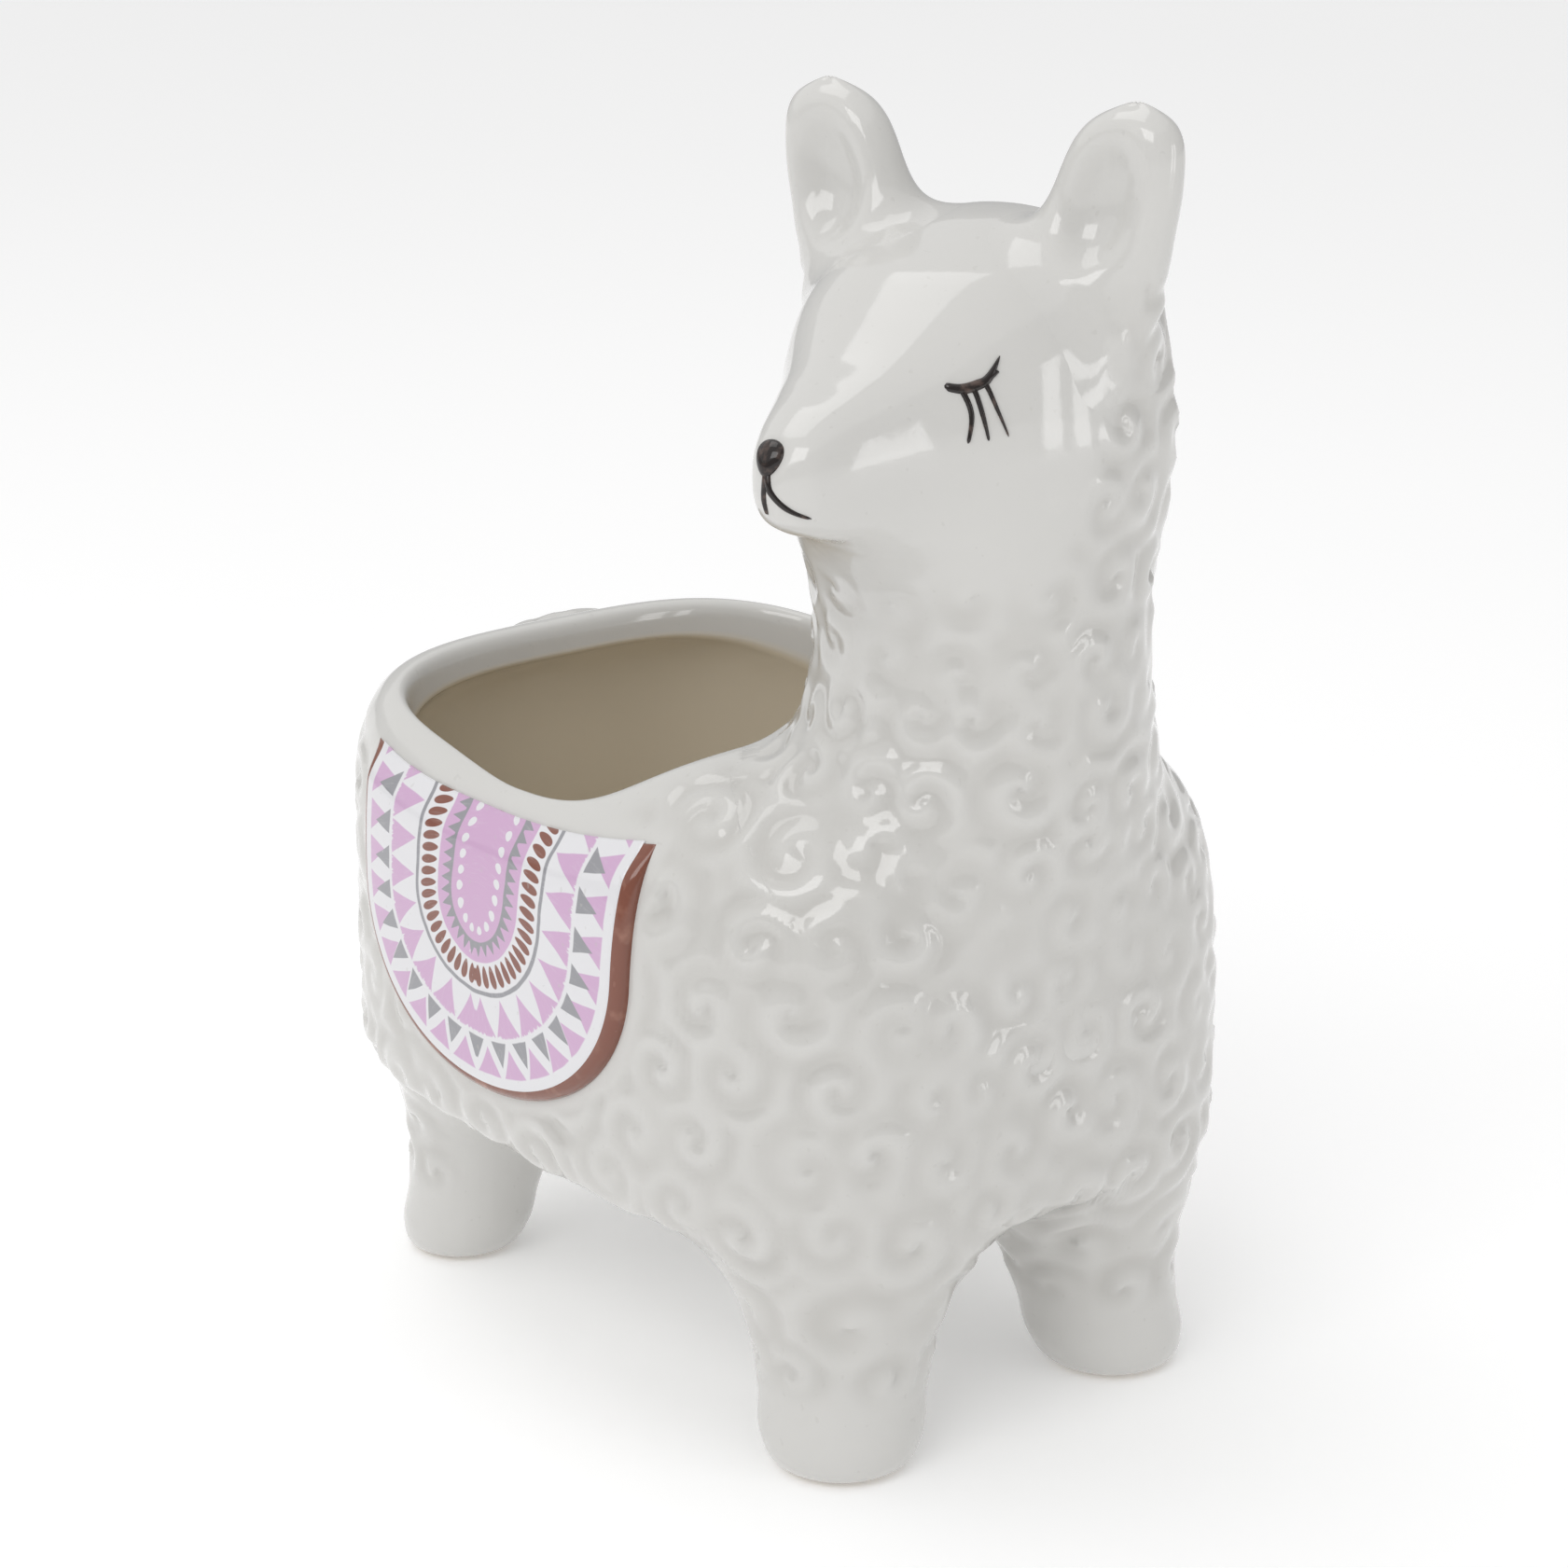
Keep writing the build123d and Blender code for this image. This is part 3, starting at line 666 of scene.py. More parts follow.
def blanket_top(s):
    """Height of the blanket's upper edge, which sags in the middle, at a share of its half width."""
    return BLANKET.top - BLANKET.top_sag * (1 - s ** 2)


def blanket_grid(inset, rows, cols):
    """Lengths and heights of a grid that fills the blanket's outline, closer at its edges."""
    width, start, tall = arch(inset)
    s = np.sin(np.linspace(-pi / 2, pi / 2, cols))[None, :]
    t = np.sin(np.linspace(0, pi / 2, rows))[:, None]
    y = BLANKET.y + width * s
    top = blanket_top(s)
    bottom = start - tall * np.sqrt(np.maximum(1 - s ** 2, 0))
    return y + 0 * t, top + (bottom - top) * t


def pad_height(depth, z, y, thick):
    """Quarter-round rise from the pad's edge, thinning to nothing at the lip above."""
    edge = np.clip(depth / (BLANKET.edge_share * thick), 0, 1)
    s = (y - BLANKET.y) / BLANKET.half_width
    fade = ramp(blanket_top(s) - z, *BLANKET.fade)
    return thick * np.sqrt(1 - (1 - edge) ** 2) * (BLANKET.thin + (1 - BLANKET.thin) * fade)


# Node tools

class Net:
    """Adds nodes to one tree; inputs are pairs of a socket's key and a socket or plain value."""

    def __init__(self, tree):
        self.tree = tree

    def node(self, kind, **settings):
        made = self.tree.nodes.new(kind)
        for key, value in settings.items():
            setattr(made, key, value)
        return made

    def put(self, socket, value):
        if isinstance(value, bpy.types.NodeSocket):
            self.tree.links.new(value, socket)
        else:
            socket.default_value = value

    def make(self, kind, inputs=(), output=0, **settings):
        made = self.node(kind, **settings)
        for key, value in inputs:
            self.put(made.inputs[key], value)
        return made.outputs[output]

    def calc(self, operation, *values):
        return self.make("ShaderNodeMath", enumerate(values), operation=operation)

    def step(self, value, low, high):
        return self.make("ShaderNodeMapRange", (("Value", value), ("From Min", low), ("From Max", high)),
                         interpolation_type="SMOOTHSTEP")

    def mix(self, factor, a, b):
        return self.make("ShaderNodeMix", ((0, factor), (6, a), (7, b)), 2, data_type="RGBA")

    def noise(self, vector, scale, detail=2.0, rough=0.5):
        return self.make("ShaderNodeTexNoise", (
            ("Vector", vector), ("Scale", scale), ("Detail", detail), ("Roughness", rough)))

    def split(self, vector, axis):
        return self.make("ShaderNodeSeparateXYZ", ((0, vector),), axis)

    def place(self):
        return self.make("ShaderNodeTexCoord", output="Object")

    def layer(self, name):
        return self.make("ShaderNodeAttribute", output="Fac", attribute_name=name)

    def bump(self, height, strength, distance):
        return self.make("ShaderNodeBump", (
            ("Strength", strength), ("Distance", distance), ("Height", height)))


def shade_group():
    """Group: cloudy tint, a second colour by share, fine specks, fine ripple and roughness of a fired glaze;
    the second colour is painted shade in the glaze's grooves and the thin colour of streaked glazes.
    """
    name = "fired_glaze"
    if name in bpy.data.node_groups:
        return bpy.data.node_groups[name]
    group = bpy.data.node_groups.new(name, "ShaderNodeTree")
    for way, label, kind in (
            ("INPUT", "Place", "Vector"), ("INPUT", "Colour", "Color"), ("INPUT", "Shade streak and speck colour", "Color"),
            ("INPUT", "Shade and streak share", "Float"), ("INPUT", "Cloud", "Float"),
            ("OUTPUT", "Colour", "Color"), ("OUTPUT", "Roughness", "Float"), ("OUTPUT", "Height", "Float")):
        group.interface.new_socket(label, in_out=way, socket_type="NodeSocket" + kind)
    net = Net(group)
    given = net.node("NodeGroupInput").outputs
    out = net.node("NodeGroupOutput").inputs
    cloud = net.noise(given["Place"], 38.0, 4.0, 0.6)
    fine = net.noise(given["Place"], 420.0, 2.0)
    speck = net.noise(given["Place"], 900.0, 1.0)
    drift = net.calc("MULTIPLY", net.calc("SUBTRACT", cloud, 0.5), given["Cloud"])
    # Share of the second colour, shifted by the cloud: painted shade in the grooves, streaks in streaked
    # glazes
    shade_and_streak_share = net.calc("ADD", given["Shade and streak share"], drift)
    shade_and_streak_share = net.calc("MINIMUM", net.calc("MAXIMUM", shade_and_streak_share, 0.0), 1.0)
    colour = net.mix(shade_and_streak_share, given["Colour"], given["Shade streak and speck colour"])
    dots = net.step(speck, 0.71, 0.77)
    colour = net.mix(net.calc("MULTIPLY", dots, 0.25), colour, given["Shade streak and speck colour"])
    net.put(out["Colour"], colour)
    net.put(out["Roughness"], net.calc("MULTIPLY_ADD", cloud, 0.10, 0.045))
    net.put(out["Height"], net.calc("MULTIPLY_ADD", cloud, 0.6, net.calc("MULTIPLY", fine, 0.4)))
    return group


def new_material(name):
    made = bpy.data.materials.new(name)
    made.use_nodes = True
    net = Net(made.node_tree)
    return made, net, made.node_tree.nodes["Principled BSDF"].inputs


def fired(net, shader, colour, shade_streak_and_speck_colour, shade_and_streak_share, cloud, ripple):
    """Places the shared glaze group and feeds the shader; returns its colour."""
    made = net.node("ShaderNodeGroup", node_tree=shade_group())
    for label, value in (("Place", net.place()), ("Colour", colour), ("Shade streak and speck colour", shade_streak_and_speck_colour),
                         ("Shade and streak share", shade_and_streak_share), ("Cloud", cloud)):
        net.put(made.inputs[label], value)
    net.put(shader["Roughness"], made.outputs["Roughness"])
    net.put(shader["Normal"], net.bump(made.outputs["Height"], ripple, 0.0004))
    return made.outputs["Colour"]


def glaze_material(colours):
    """Milky glaze: painted shade of warm grey in the grooves, olive grey within the pot, bare clay under the
    feet.
    """
    if "milky_glaze" in bpy.data.materials:
        return bpy.data.materials["milky_glaze"]
    made, net, shader = new_material("milky_glaze")
    # Painted shade: the groove share mixes the glaze towards the darker shade colour in the carved grooves
    shade_and_streak_share = net.calc("MULTIPLY", net.layer("shade_and_streak_share"), 0.62)
    colour = fired(net, shader, (*colours.glaze, 1), (*colours.shade_streak_and_speck_colour, 1), shade_and_streak_share, 0.22, 0.18)
    colour = net.mix(net.layer("inside"), colour, (*colours.inside, 1))
    bare = net.step(net.split(net.place(), 2), 0.0007, 0.0002)
    colour = net.mix(bare, colour, (*colours.clay, 1))
    net.put(shader["Base Color"], colour)
    shader["Specular IOR Level"].default_value = 0.5
    shader["Coat Weight"].default_value = 0.35
    shader["Coat Roughness"].default_value = 0.04
    return made


def streaked_material(name, colour, thin, scale, levels, ripple, coat):
    """A glaze that goes over to its thin colour in fine streaks."""
    made, net, shader = new_material(name)
    streak = net.step(net.noise(net.place(), scale, 3.0), *levels)
    net.put(shader["Base Color"], fired(net, shader, (*colour, 1), (*thin, 1), streak, 0.2, ripple))
    shader["Coat Weight"].default_value = coat
    return made


def print_material(colours):
    """Printed bands by depth on the blanket: triangles, line, seeds, teeth and dots.

    Each band counts its repeats along its own arch: the quarter round's length at that
    depth times the share turned, plus the straight rise.
    """
    made, net, shader = new_material("printed_bands")
    chart = net.make("ShaderNodeUVMap", uv_map="Bands")
    place = net.place()
    turn = net.split(chart, 0)
    rise = net.calc("MULTIPLY", net.split(chart, 1), CHART_SPAN)
    wobble = net.calc("MULTIPLY_ADD", net.noise(place, 240.0, 2.0), 0.5, -0.25)
    shake = net.calc("MULTIPLY_ADD", net.noise(place, 170.0, 1.0), 0.5, -0.25)
    deep = net.calc("ADD", net.layer("depth"), wobble)
    soft = 0.10

    def run_at(depth):
        width, _, tall = arch(depth + BLANKET.border)
        quarter = pi / 2 * np.sqrt((width ** 2 + tall ** 2) / 2)
        return net.calc("ADD", net.calc("MULTIPLY_ADD", turn, float(quarter), rise), shake)

    def within(value, low, high):
        up = net.step(value, low - soft, low + soft)
        return net.calc("MULTIPLY", up, net.step(value, high + soft, high - soft))

    def sway(depth, period, start):
        part = net.calc("FRACT", net.calc("ADD", net.calc("DIVIDE", run_at(depth), period), start))
        return net.calc("ABSOLUTE", net.calc("MULTIPLY_ADD", part, 2.0, -1.0))

    def wedge(base, tip, period, start, fill):
        share = net.calc("DIVIDE", net.calc("SUBTRACT", deep, base), tip - base)
        level = net.calc("ADD", share, net.calc("DIVIDE", sway((base + tip) / 2, period, start), fill))
        body = net.step(level, 1.05, 0.97)
        return net.calc("MULTIPLY", body, net.step(share, -0.03, 0.03))

    def oval_spot(middle, half, period, start, fill):
        up = net.calc("DIVIDE", net.calc("SUBTRACT", deep, middle), half)
        room = net.calc("MULTIPLY_ADD", up, -0.18 * fill, fill)
        wide = net.calc("DIVIDE", sway(middle, period, start), room)
        far = net.calc("ADD", net.calc("MULTIPLY", up, up), net.calc("MULTIPLY", wide, wide))
        return net.step(far, 1.12, 0.88)

    streaks = net.make("ShaderNodeCombineXYZ", ((0, run_at(10.0)), (1, net.calc("MULTIPLY", deep, 0.12))))
    brush = net.noise(streaks, 2.6, 3.0, 0.6)
    below = net.calc("MULTIPLY", net.calc("SUBTRACT", deep, 7.7), 0.3)
    fringe = net.step(net.calc("ADD", below, brush), 0.40, 0.52)

    white, pink = (*colours.print_white, 1), (*colours.print_pink, 1)
    grey, rust = (*colours.print_grey, 1), (*colours.print_rust, 1)
    # White patches over the print: partly painted highlight from the glaze's reflections, partly worn print
    wear_and_highlight = net.step(net.noise(place, 260.0, 4.0, 0.7), 0.69, 0.73)
    colour = white
    for share, tint in (
            (wedge(1.7, 6.0, 4.8, 0.0, 0.84), pink),
            (wedge(7.0, 3.2, 4.8, 0.5, 0.66), grey),
            (net.calc("MULTIPLY", wedge(7.7, 13.3, 4.7, 0.25, 0.95), fringe), pink),
            (within(deep, 13.75, 14.4), grey),
            (oval_spot(16.6, 1.65, 1.5, 0.0, 0.74), rust),
            (net.step(deep, 18.6, 18.8), pink),
            (wedge(21.4, 19.5, 1.55, 0.0, 0.92), grey),
            (within(deep, 21.2, 21.75), grey),
            (oval_spot(23.5, 0.66, 1.95, 0.0, 0.58), white),
            (net.calc("MULTIPLY", wear_and_highlight, 0.8), white),
            (net.calc("MULTIPLY", net.step(brush, 0.5, 0.8), 0.16), white)):
        colour = net.mix(share, colour, tint)
    glazed = fired(net, shader, colour, (*colours.shade_streak_and_speck_colour, 1), 0.0, 0.12, 0.12)
    net.put(shader["Base Color"], glazed)
    shader["Coat Weight"].default_value = 0.3
    return made


# Values that a user may change

def length(name, description, default):
    return FloatProperty(name=name, description=description, default=default,
                         unit="LENGTH", precision=5)


def paint(name, description, default):
    return FloatVectorProperty(name=name, description=description, default=default,
                               subtype="COLOR", min=0.0, max=1.0)


class PlanterSizes(bpy.types.PropertyGroup):
    lip_round: length("Lip rounding", "Reach of the rounding on the rim", 0.0036)
    wool_depth: length("Wool depth", "Depth of the carved curls", 0.0008)
    curl_pitch: length("Curl pitch", "Gap between the turns of one curl", 0.0052)
    shoulder_blend: length("Shoulder fillet", "Reach of the fillet between neck and pot", 0.0055)
    limb_blend: length("Limb fillet", "Reach of the fillets of ears and tail", 0.0045)
    leg_blend: length("Leg fillet", "Reach of the fillets between legs and belly", 0.008)
    pad_thick: length("Blanket pad", "Rise of the blanket over the flank", 0.0016)
    print_lift: length("Print lift", "Rise of the printed skin over its pad", 0.00012)
    enamel_lift: length("Enamel lift", "Rise of the painted lines over the glaze", 0.0003)


class PlanterColours(bpy.types.PropertyGroup):
    glaze: paint("Glaze", "Milky glaze on high places", (0.63, 0.622, 0.60))
    # Painted shade colour for the grooves of the wool, also the colour of the fine specks
    shade_streak_and_speck_colour: paint("Groove shade", "Painted shade in the grooves, also the speck colour", (0.50, 0.487, 0.46))
    inside: paint("Inside", "Thin glaze within the pot", (0.68, 0.61, 0.49))
    clay: paint("Bare clay", "Unglazed foot rings", (0.62, 0.56, 0.48))
    edge: paint("Blanket edge", "Reddish brown edge", (0.20, 0.066, 0.040))
    edge_thin: paint("Thin edge", "Edge colour where it runs thin", (0.34, 0.16, 0.11))
    print_white: paint("Print white", "Ground of the print", (0.74, 0.735, 0.755))
    print_pink: paint("Print pink", "Pink lilac of the print", (0.60, 0.385, 0.58))
    print_grey: paint("Print grey", "Grey of the print", (0.29, 0.29, 0.31))
    print_rust: paint("Print rust", "Rust seeds of the print", (0.22, 0.075, 0.05))
    enamel: paint("Enamel", "Painted face lines", (0.012, 0.008, 0.007))
    enamel_dry: paint("Dry enamel", "Face lines where the brush ran dry", (0.09, 0.06, 0.05))
    floor: paint("Floor", "Pale floor", (0.93, 0.93, 0.93))


def sizes_in_mm(context):
    """The length properties as plain numbers in millimetres."""
    given = context.scene.planter_sizes
    return SimpleNamespace(**{key: getattr(given, key) / MM for key in PlanterSizes.__annotations__})


# Pieces

def bowl_grid(size, cols):
    """The pot as one closed ring of rows: belly, flank, rounded lip, opening wall, cavity and drain.

    Plan directions turn evenly; the flank rises by the body's power curves to the point
    where the opening is one lip rounding away, a quadratic curve through the sharp edge
    rounds the lip, and the inner wall falls to the floor of the cavity.
    """
    c, s = np.cos(turns(cols)), np.sin(turns(cols))
    n = BODY.plan_power
    k = (np.abs(c) ** n + np.abs(s) ** n) ** (-1 / n)
    belly_angle, drop = -0.5, BODY.floor - BODY.wall

    def at(angle, grow=0.0, lift=0.0, kc=k * c, ks=k * s):
        angle = np.broadcast_to(angle, np.broadcast_shapes(np.shape(angle), kc.shape))
        above = angle > 0
        ca, sa = np.abs(np.cos(angle)), np.abs(np.sin(angle))
        half_x, half_y = BODY.half_width + grow, BODY.half_length + grow
        reach = np.ones(angle.shape)
        for _ in range(8):
            m = np.where(above, crown_power(half_y * reach * ca * ks), BODY.belly_power)
            reach = (ca ** m + sa ** m) ** (-1 / m)
        tall = np.where(above, BODY.crown - BODY.widest + grow, -(BODY.widest - BODY.belly + grow - lift))
        x, y = half_x * reach * ca * kc, half_y * reach * ca * ks
        return np.stack([x, y, BODY.widest + tall * reach * sa], -1)

    front = ramp(-s, *OPENING.front_turn)
    lip = size.lip_round * (1 - front) + OPENING.front_lip * front
    edge_angle = halve(lambda angle: opening_field(at(angle)) < lip, 0.6, 1.55, cols)[0]
    outer = at(edge_angle)
    edge = outer.copy()
    for _ in range(6):
        r, rx, ry = opening_reach(edge)
        gap = (r - 1) / (rx ** 2 + ry ** 2)
        edge[:, 0] -= gap * rx
        edge[:, 1] -= gap * ry
        edge[:, 2] = body_top(edge[:, 0], edge[:, 1])
    middle, half = opening_oval(edge[:, 2])
    round_x, round_y = edge[:, 0] / OPENING.half_width, (edge[:, 1] - middle) / half

    def on_wall(z):
        middle, half = opening_oval(z)
        return np.stack([OPENING.half_width * round_x, middle + half * round_y, z], -1)

    def wall_height(grow, depth):
        return halve(lambda z: body_field(on_wall(z), grow) > depth, 50.0, edge[:, 2], cols)[0]

    lip_low = wall_height(0.0, -lip)
    inner_high = np.minimum(wall_height(-BODY.wall, 0.0), lip_low - 0.8)
    rows = []

    def add_floor(start, end, shares, *inset):
        for t in shares:
            xy = start + (end - start) * t
            rows.append(np.concatenate([xy, body_bottom(*xy.T, *inset)[:, None]], -1))

    hole = np.stack([DRAIN.radius * c, DRAIN.y + DRAIN.radius * s], -1)
    add_floor(hole, at(belly_angle)[:, :2], np.linspace(0, 1, ROWS.belly)[:-1])
    belly_rows = len(rows)
    fine = np.linspace(belly_angle, 1.5, 900)
    track = at(fine[:, None], kc=np.array([1.0]), ks=np.array([0.0]))[:, 0]
    path = np.concatenate([[0], np.cumsum(np.linalg.norm(np.diff(track, axis=0), axis=-1))])
    share = np.interp(np.linspace(0, np.interp(1.25, fine, path), ROWS.flank), path, fine)
    for t in (share - belly_angle) / (share[-1] - belly_angle):
        rows.append(at(belly_angle + (edge_angle - belly_angle) * t))
    wall = on_wall(lip_low)
    for t in np.linspace(0, 1, ROWS.lip)[1:]:
        rows.append(outer * (1 - t) ** 2 + edge * 2 * t * (1 - t) + wall * t * t)
    lip_rows = len(rows)
    for t in np.linspace(0, 1, ROWS.wall)[1:]:
        rows.append(on_wall(lip_low + (inner_high - lip_low) * t))
    corner = rows[-1]
    size_in = plan_reach(corner[:, 0], corner[:, 1], -BODY.wall)
    kc = corner[:, 0] / (BODY.half_width - BODY.wall) / size_in
    ks = corner[:, 1] / (BODY.half_length - BODY.wall) / size_in
    first = np.arctan2((corner[:, 2] - BODY.widest) / (BODY.crown - BODY.widest - BODY.wall), size_in)
    for t in np.concatenate([[0.012], np.linspace(0, 1, ROWS.cavity)[1:]]):
        rows.append(at(first + (belly_angle - first) * t, -BODY.wall, drop, kc, ks))
    add_floor(rows[-1][:, :2], hole, np.linspace(0, 1, ROWS.floor)[1:], BODY.wall, drop)
    top, bottom = rows[-1], rows[0]
    for t in (0.06, 0.5, 0.94):
        rows.append(top + (bottom - top) * t)
    within, outside = np.zeros((len(rows), cols)), np.zeros((len(rows), 1))
    within[lip_rows + 4:] = 1.0
    within[lip_rows + 3] = 0.4
    outside[belly_rows:lip_rows] = 1.0
    return np.stack(rows), within, outside


def neck_grid(size, cols):
    """Neck, head and snout as rays from a spine that rises up the neck and bends into the snout.

    The lowest row is the line where the shoulder fillet feathers out on the pot; a skin
    within the pot's wall closes it, and a fan of rays closes the tip of the snout.
    """
    reach = size.shoulder_blend
    level = turned(turns(cols), -AHEAD, LEFT)

    def field(p):
        form = stuck_on(head_field(p), body_field(p), reach)
        return blend_max(form, -opening_field(p), size.lip_round)

    def on_top(out, grow):
        xy = HEAD_AXIS + level * out[:, None]
        xy[:, 2] = body_top(xy[:, 0], xy[:, 1], grow)
        return xy

    def outside(out):
        p = on_top(out, 0.0)
        off_plan = plan_reach(p[:, 0], p[:, 1]) > SHOULDER.plan_edge
        return (head_field(p) > reach) | (opening_field(p) < SHOULDER.opening_gap) | off_plan

    out = halve(outside, 8.0, 48.0, cols, 34)[0]
    behind = ramp(opening_field(on_top(out, 0.0)), *SHOULDER.behind)
    ring = on_top(out, -SHOULDER.sink - SHOULDER.sink_behind * behind)
    skins = []
    for t in np.linspace(0.08, 1, ROWS.shoulder_skin)[:-1]:
        xy = HEAD_AXIS + (ring - HEAD_AXIS) * t
        xy[:, 2] = body_top(xy[:, 0], xy[:, 1], -SHOULDER.skin)
        if t > 0.9:
            xy[:, 2] = np.minimum(xy[:, 2], ring[:, 2] - SHOULDER.skin_gap)
        skins.append(xy)
    rays = Rays(level)
    dip = np.arctan2(ring[:, 2] - SPINE.start, out)
    rays.fan(HEAD_AXIS + UP * SPINE.start, [dip * (1 - t) for t in np.linspace(0, 1, ROWS.shoulder)[1:-1]])
    for z in np.linspace(SPINE.start, SPINE.straight, ROWS.neck)[:-1]:
        rays.row(HEAD_AXIS + UP * z)
    for t in np.linspace(0, pi / 2, ROWS.bend):
        height = SPINE.straight + SPINE.climb * np.sin(t)
        origin = HEAD_AXIS + UP * height + AHEAD * SPINE.bend * (1 - np.cos(t))
        rays.row(origin, turned(turns(cols), turned(t, -AHEAD, UP), LEFT))
    upright = rays.ways[-1]
    for along in np.linspace(SPINE.bend, SPINE.end, ROWS.snout)[1:]:
        height = SPINE.straight + SPINE.climb - SPINE.fall * (along - SPINE.bend)
        rays.row(HEAD_AXIS + AHEAD * along + UP * height, upright)
    tip = rays.origins[-1]
    for t in np.linspace(0, pi / 2, ROWS.tip)[1:-1]:
        rays.row(tip, turned(t, upright, AHEAD))
    shell = rays.hits(field, 2.0, 52.0)
    return np.concatenate([np.stack(skins), ring[None], shell]), len(skins) + 2


def capped_rays(spine, cols, foot_rows, head_rows):
    """A fan of rays below, level rows up the spine, and a fan above."""
    rays = Rays(turned(turns(cols), X_WAY, Y_WAY))
    rays.fan(spine[0], np.linspace(-pi / 2, 0, foot_rows)[1:-1])
    for point in spine:
        rays.row(point)
    rays.fan(spine[-1], np.linspace(0, pi / 2, head_rows)[1:-1])
    return rays


def leg_grid(size, x_sign, y_sign, radius, cols):
    """A leg as rays from its axis: a fan for the foot, level rows, and a fan up to the belly.

    Each upward fan ends where its fillet runs out on the pot, a tilt found by halving;
    a skin within the pot's wall closes the top.
    """
    span = 0.5, 44.0

    def form(p):
        return leg_field(p, x_sign, y_sign, radius)

    def skin(p):
        return blend_min(form(p), body_field(p) + SINK, size.leg_blend)

    spine = leg_axis(x_sign, y_sign, np.linspace(3.5, 15.0, ROWS.leg))
    start = spine[-1]
    rays = capped_rays(spine, cols, ROWS.fan, 2)
    tilt = run_out(start, rays.level, skin, form, size.leg_blend, span, (0.0, 1.4))
    rays.fan(start, [tilt * t for t in np.linspace(0, 1, ROWS.leg_fillet)[1:]])
    grid, shade_and_streak_share = carve(rays.hits(skin, *span), size, skin)
    ring = grid[-1]
    caps = [ring - slope_normal(body_field, ring) * 1.2]
    for t in (0.9, 0.7, 0.4, 0.15):
        cap = start + (ring - start) * t
        cap[:, 2] = body_bottom(cap[:, 0], cap[:, 1]) + 1.3
        caps.append(cap)
    return np.concatenate([grid, np.stack(caps)]), np.concatenate([shade_and_streak_share, np.zeros((len(caps), cols))])


def ear_grid(size, side, cols):
    """An ear as rays from its axis, which tilt from the head's surface to level, and a fan over the top.

    The lowest row is where the fillet runs out on the head, a tilt found by halving; a skin
    within the head closes it.
    """
    reach, span = 1.4 * size.limb_blend, (0.4, 30.0)
    level = turned(turns(cols), AHEAD, LEFT)

    def axis(share):
        return (HEAD_AXIS + AHEAD * (EAR.along - EAR.spine_back) + UP * (EAR.base + EAR.length * share)
                + LEFT * side * (EAR.spread + EAR.lean * share))

    def form(p):
        return ear_field(p, side)

    def skin(p):
        return blend_min(form(p), head_field(p) + EAR_SINK + SINK * wool_mask(p), reach)

    tilt = run_out(axis(EAR.foot), level, skin, form, reach, span, (1.1, -1.45))
    rays = Rays(level)
    for t in np.linspace(0, 1, ROWS.ear_fillet):
        rays.row(axis(EAR.foot + (EAR.waist - EAR.foot) * t), turned(tilt * (1 - t), level, UP))
    for share in np.linspace(EAR.waist, EAR.brow, ROWS.ear)[1:]:
        rays.row(axis(share))
    rays.fan(axis(EAR.brow), np.linspace(0, pi / 2, ROWS.fan)[1:-1])
    grid, shade_and_streak_share = carve(rays.hits(skin, *span), size, skin)
    ring = grid[0] - slope_normal(head_field, grid[0])
    low = axis(EAR.cap)
    caps = np.stack([low + (ring - low) * t for t in (0.2, 0.5, 0.8, 1.0)])
    return np.concatenate([caps, grid]), np.concatenate([np.zeros(caps.shape[:2]), shade_and_streak_share])


def tail_grid(size, cols):
    """The tail as rays from its axis with a fan at each end, cut where its fillet meets the rump or lip."""
    crest = OPENING.rear + size.lip_round

    def pot(p):
        return pot_field(p, size.lip_round) + SINK

    def skin(p):
        reach = 0.3 + size.limb_blend * ramp(p[..., 1], crest, crest + 4.0)
        return blend_min(tail_field(p), pot(p), reach)

    def field(p):
        form = np.maximum(skin(p), tail_field(p) - size.limb_blend - 2.0)
        return np.maximum(np.maximum(form, -pot(p) - 1.0), crest - p[..., 1])

    z = np.linspace(63.0, 80.0, ROWS.tail)
    rise = ((z - TAIL.bottom) / (TAIL.top - TAIL.bottom)) ** TAIL.lean_power
    spine = np.stack([TAIL.sway * rise, TAIL.y + 1.6 - TAIL.lean * rise, z], -1)
    return carve(capped_rays(spine, cols, ROWS.fan, ROWS.fan).hits(field, 0.3, 20.0), size, skin)


def stroke_slab(points, widths, place, size, sections=28):
    """A brush line: a smooth path through points on a plane, draped by place, lens shaped across."""
    points = np.asarray(points, float)
    knots = np.linspace(0, 1, len(points))
    t = np.linspace(0, 1, sections)
    x = np.interp(t, *profile(knots, points[:, 0])[:2])
    y = np.interp(t, *profile(knots, points[:, 1])[:2])
    half = np.interp(t, knots, widths) / 2
    half *= np.sqrt(1 - (1 - np.clip(np.minimum(t, 1 - t) / STROKE.round_share, 0.03, 1)) ** 2)
    tangent = np.stack([np.gradient(x), np.gradient(y)], -1)
    tangent /= np.linalg.norm(tangent, axis=-1, keepdims=True)
    q = np.linspace(-1, 1, STROKE.across)
    gx = x[:, None] - tangent[:, 1:2] * half[:, None] * q
    gy = y[:, None] + tangent[:, :1] * half[:, None] * q
    base, normal = place(gx, gy)
    ends = np.sqrt(np.clip(np.minimum(t, 1 - t) * 14, 0, 1))[:, None]
    rise = size.enamel_lift * np.sqrt(np.maximum(1 - q ** 2, 0))[None, :] * ends + STROKE.lift
    return slab(base + normal * rise[..., None], base - normal * STROKE.sink)


def drape(origin, way, field):
    """Where rays from inside the head leave it, and the outward direction there."""
    p = cast(origin, np.broadcast_to(way, origin.shape), field, 0.0, 40.0, 60, 20)
    return p, slope_normal(field, p)


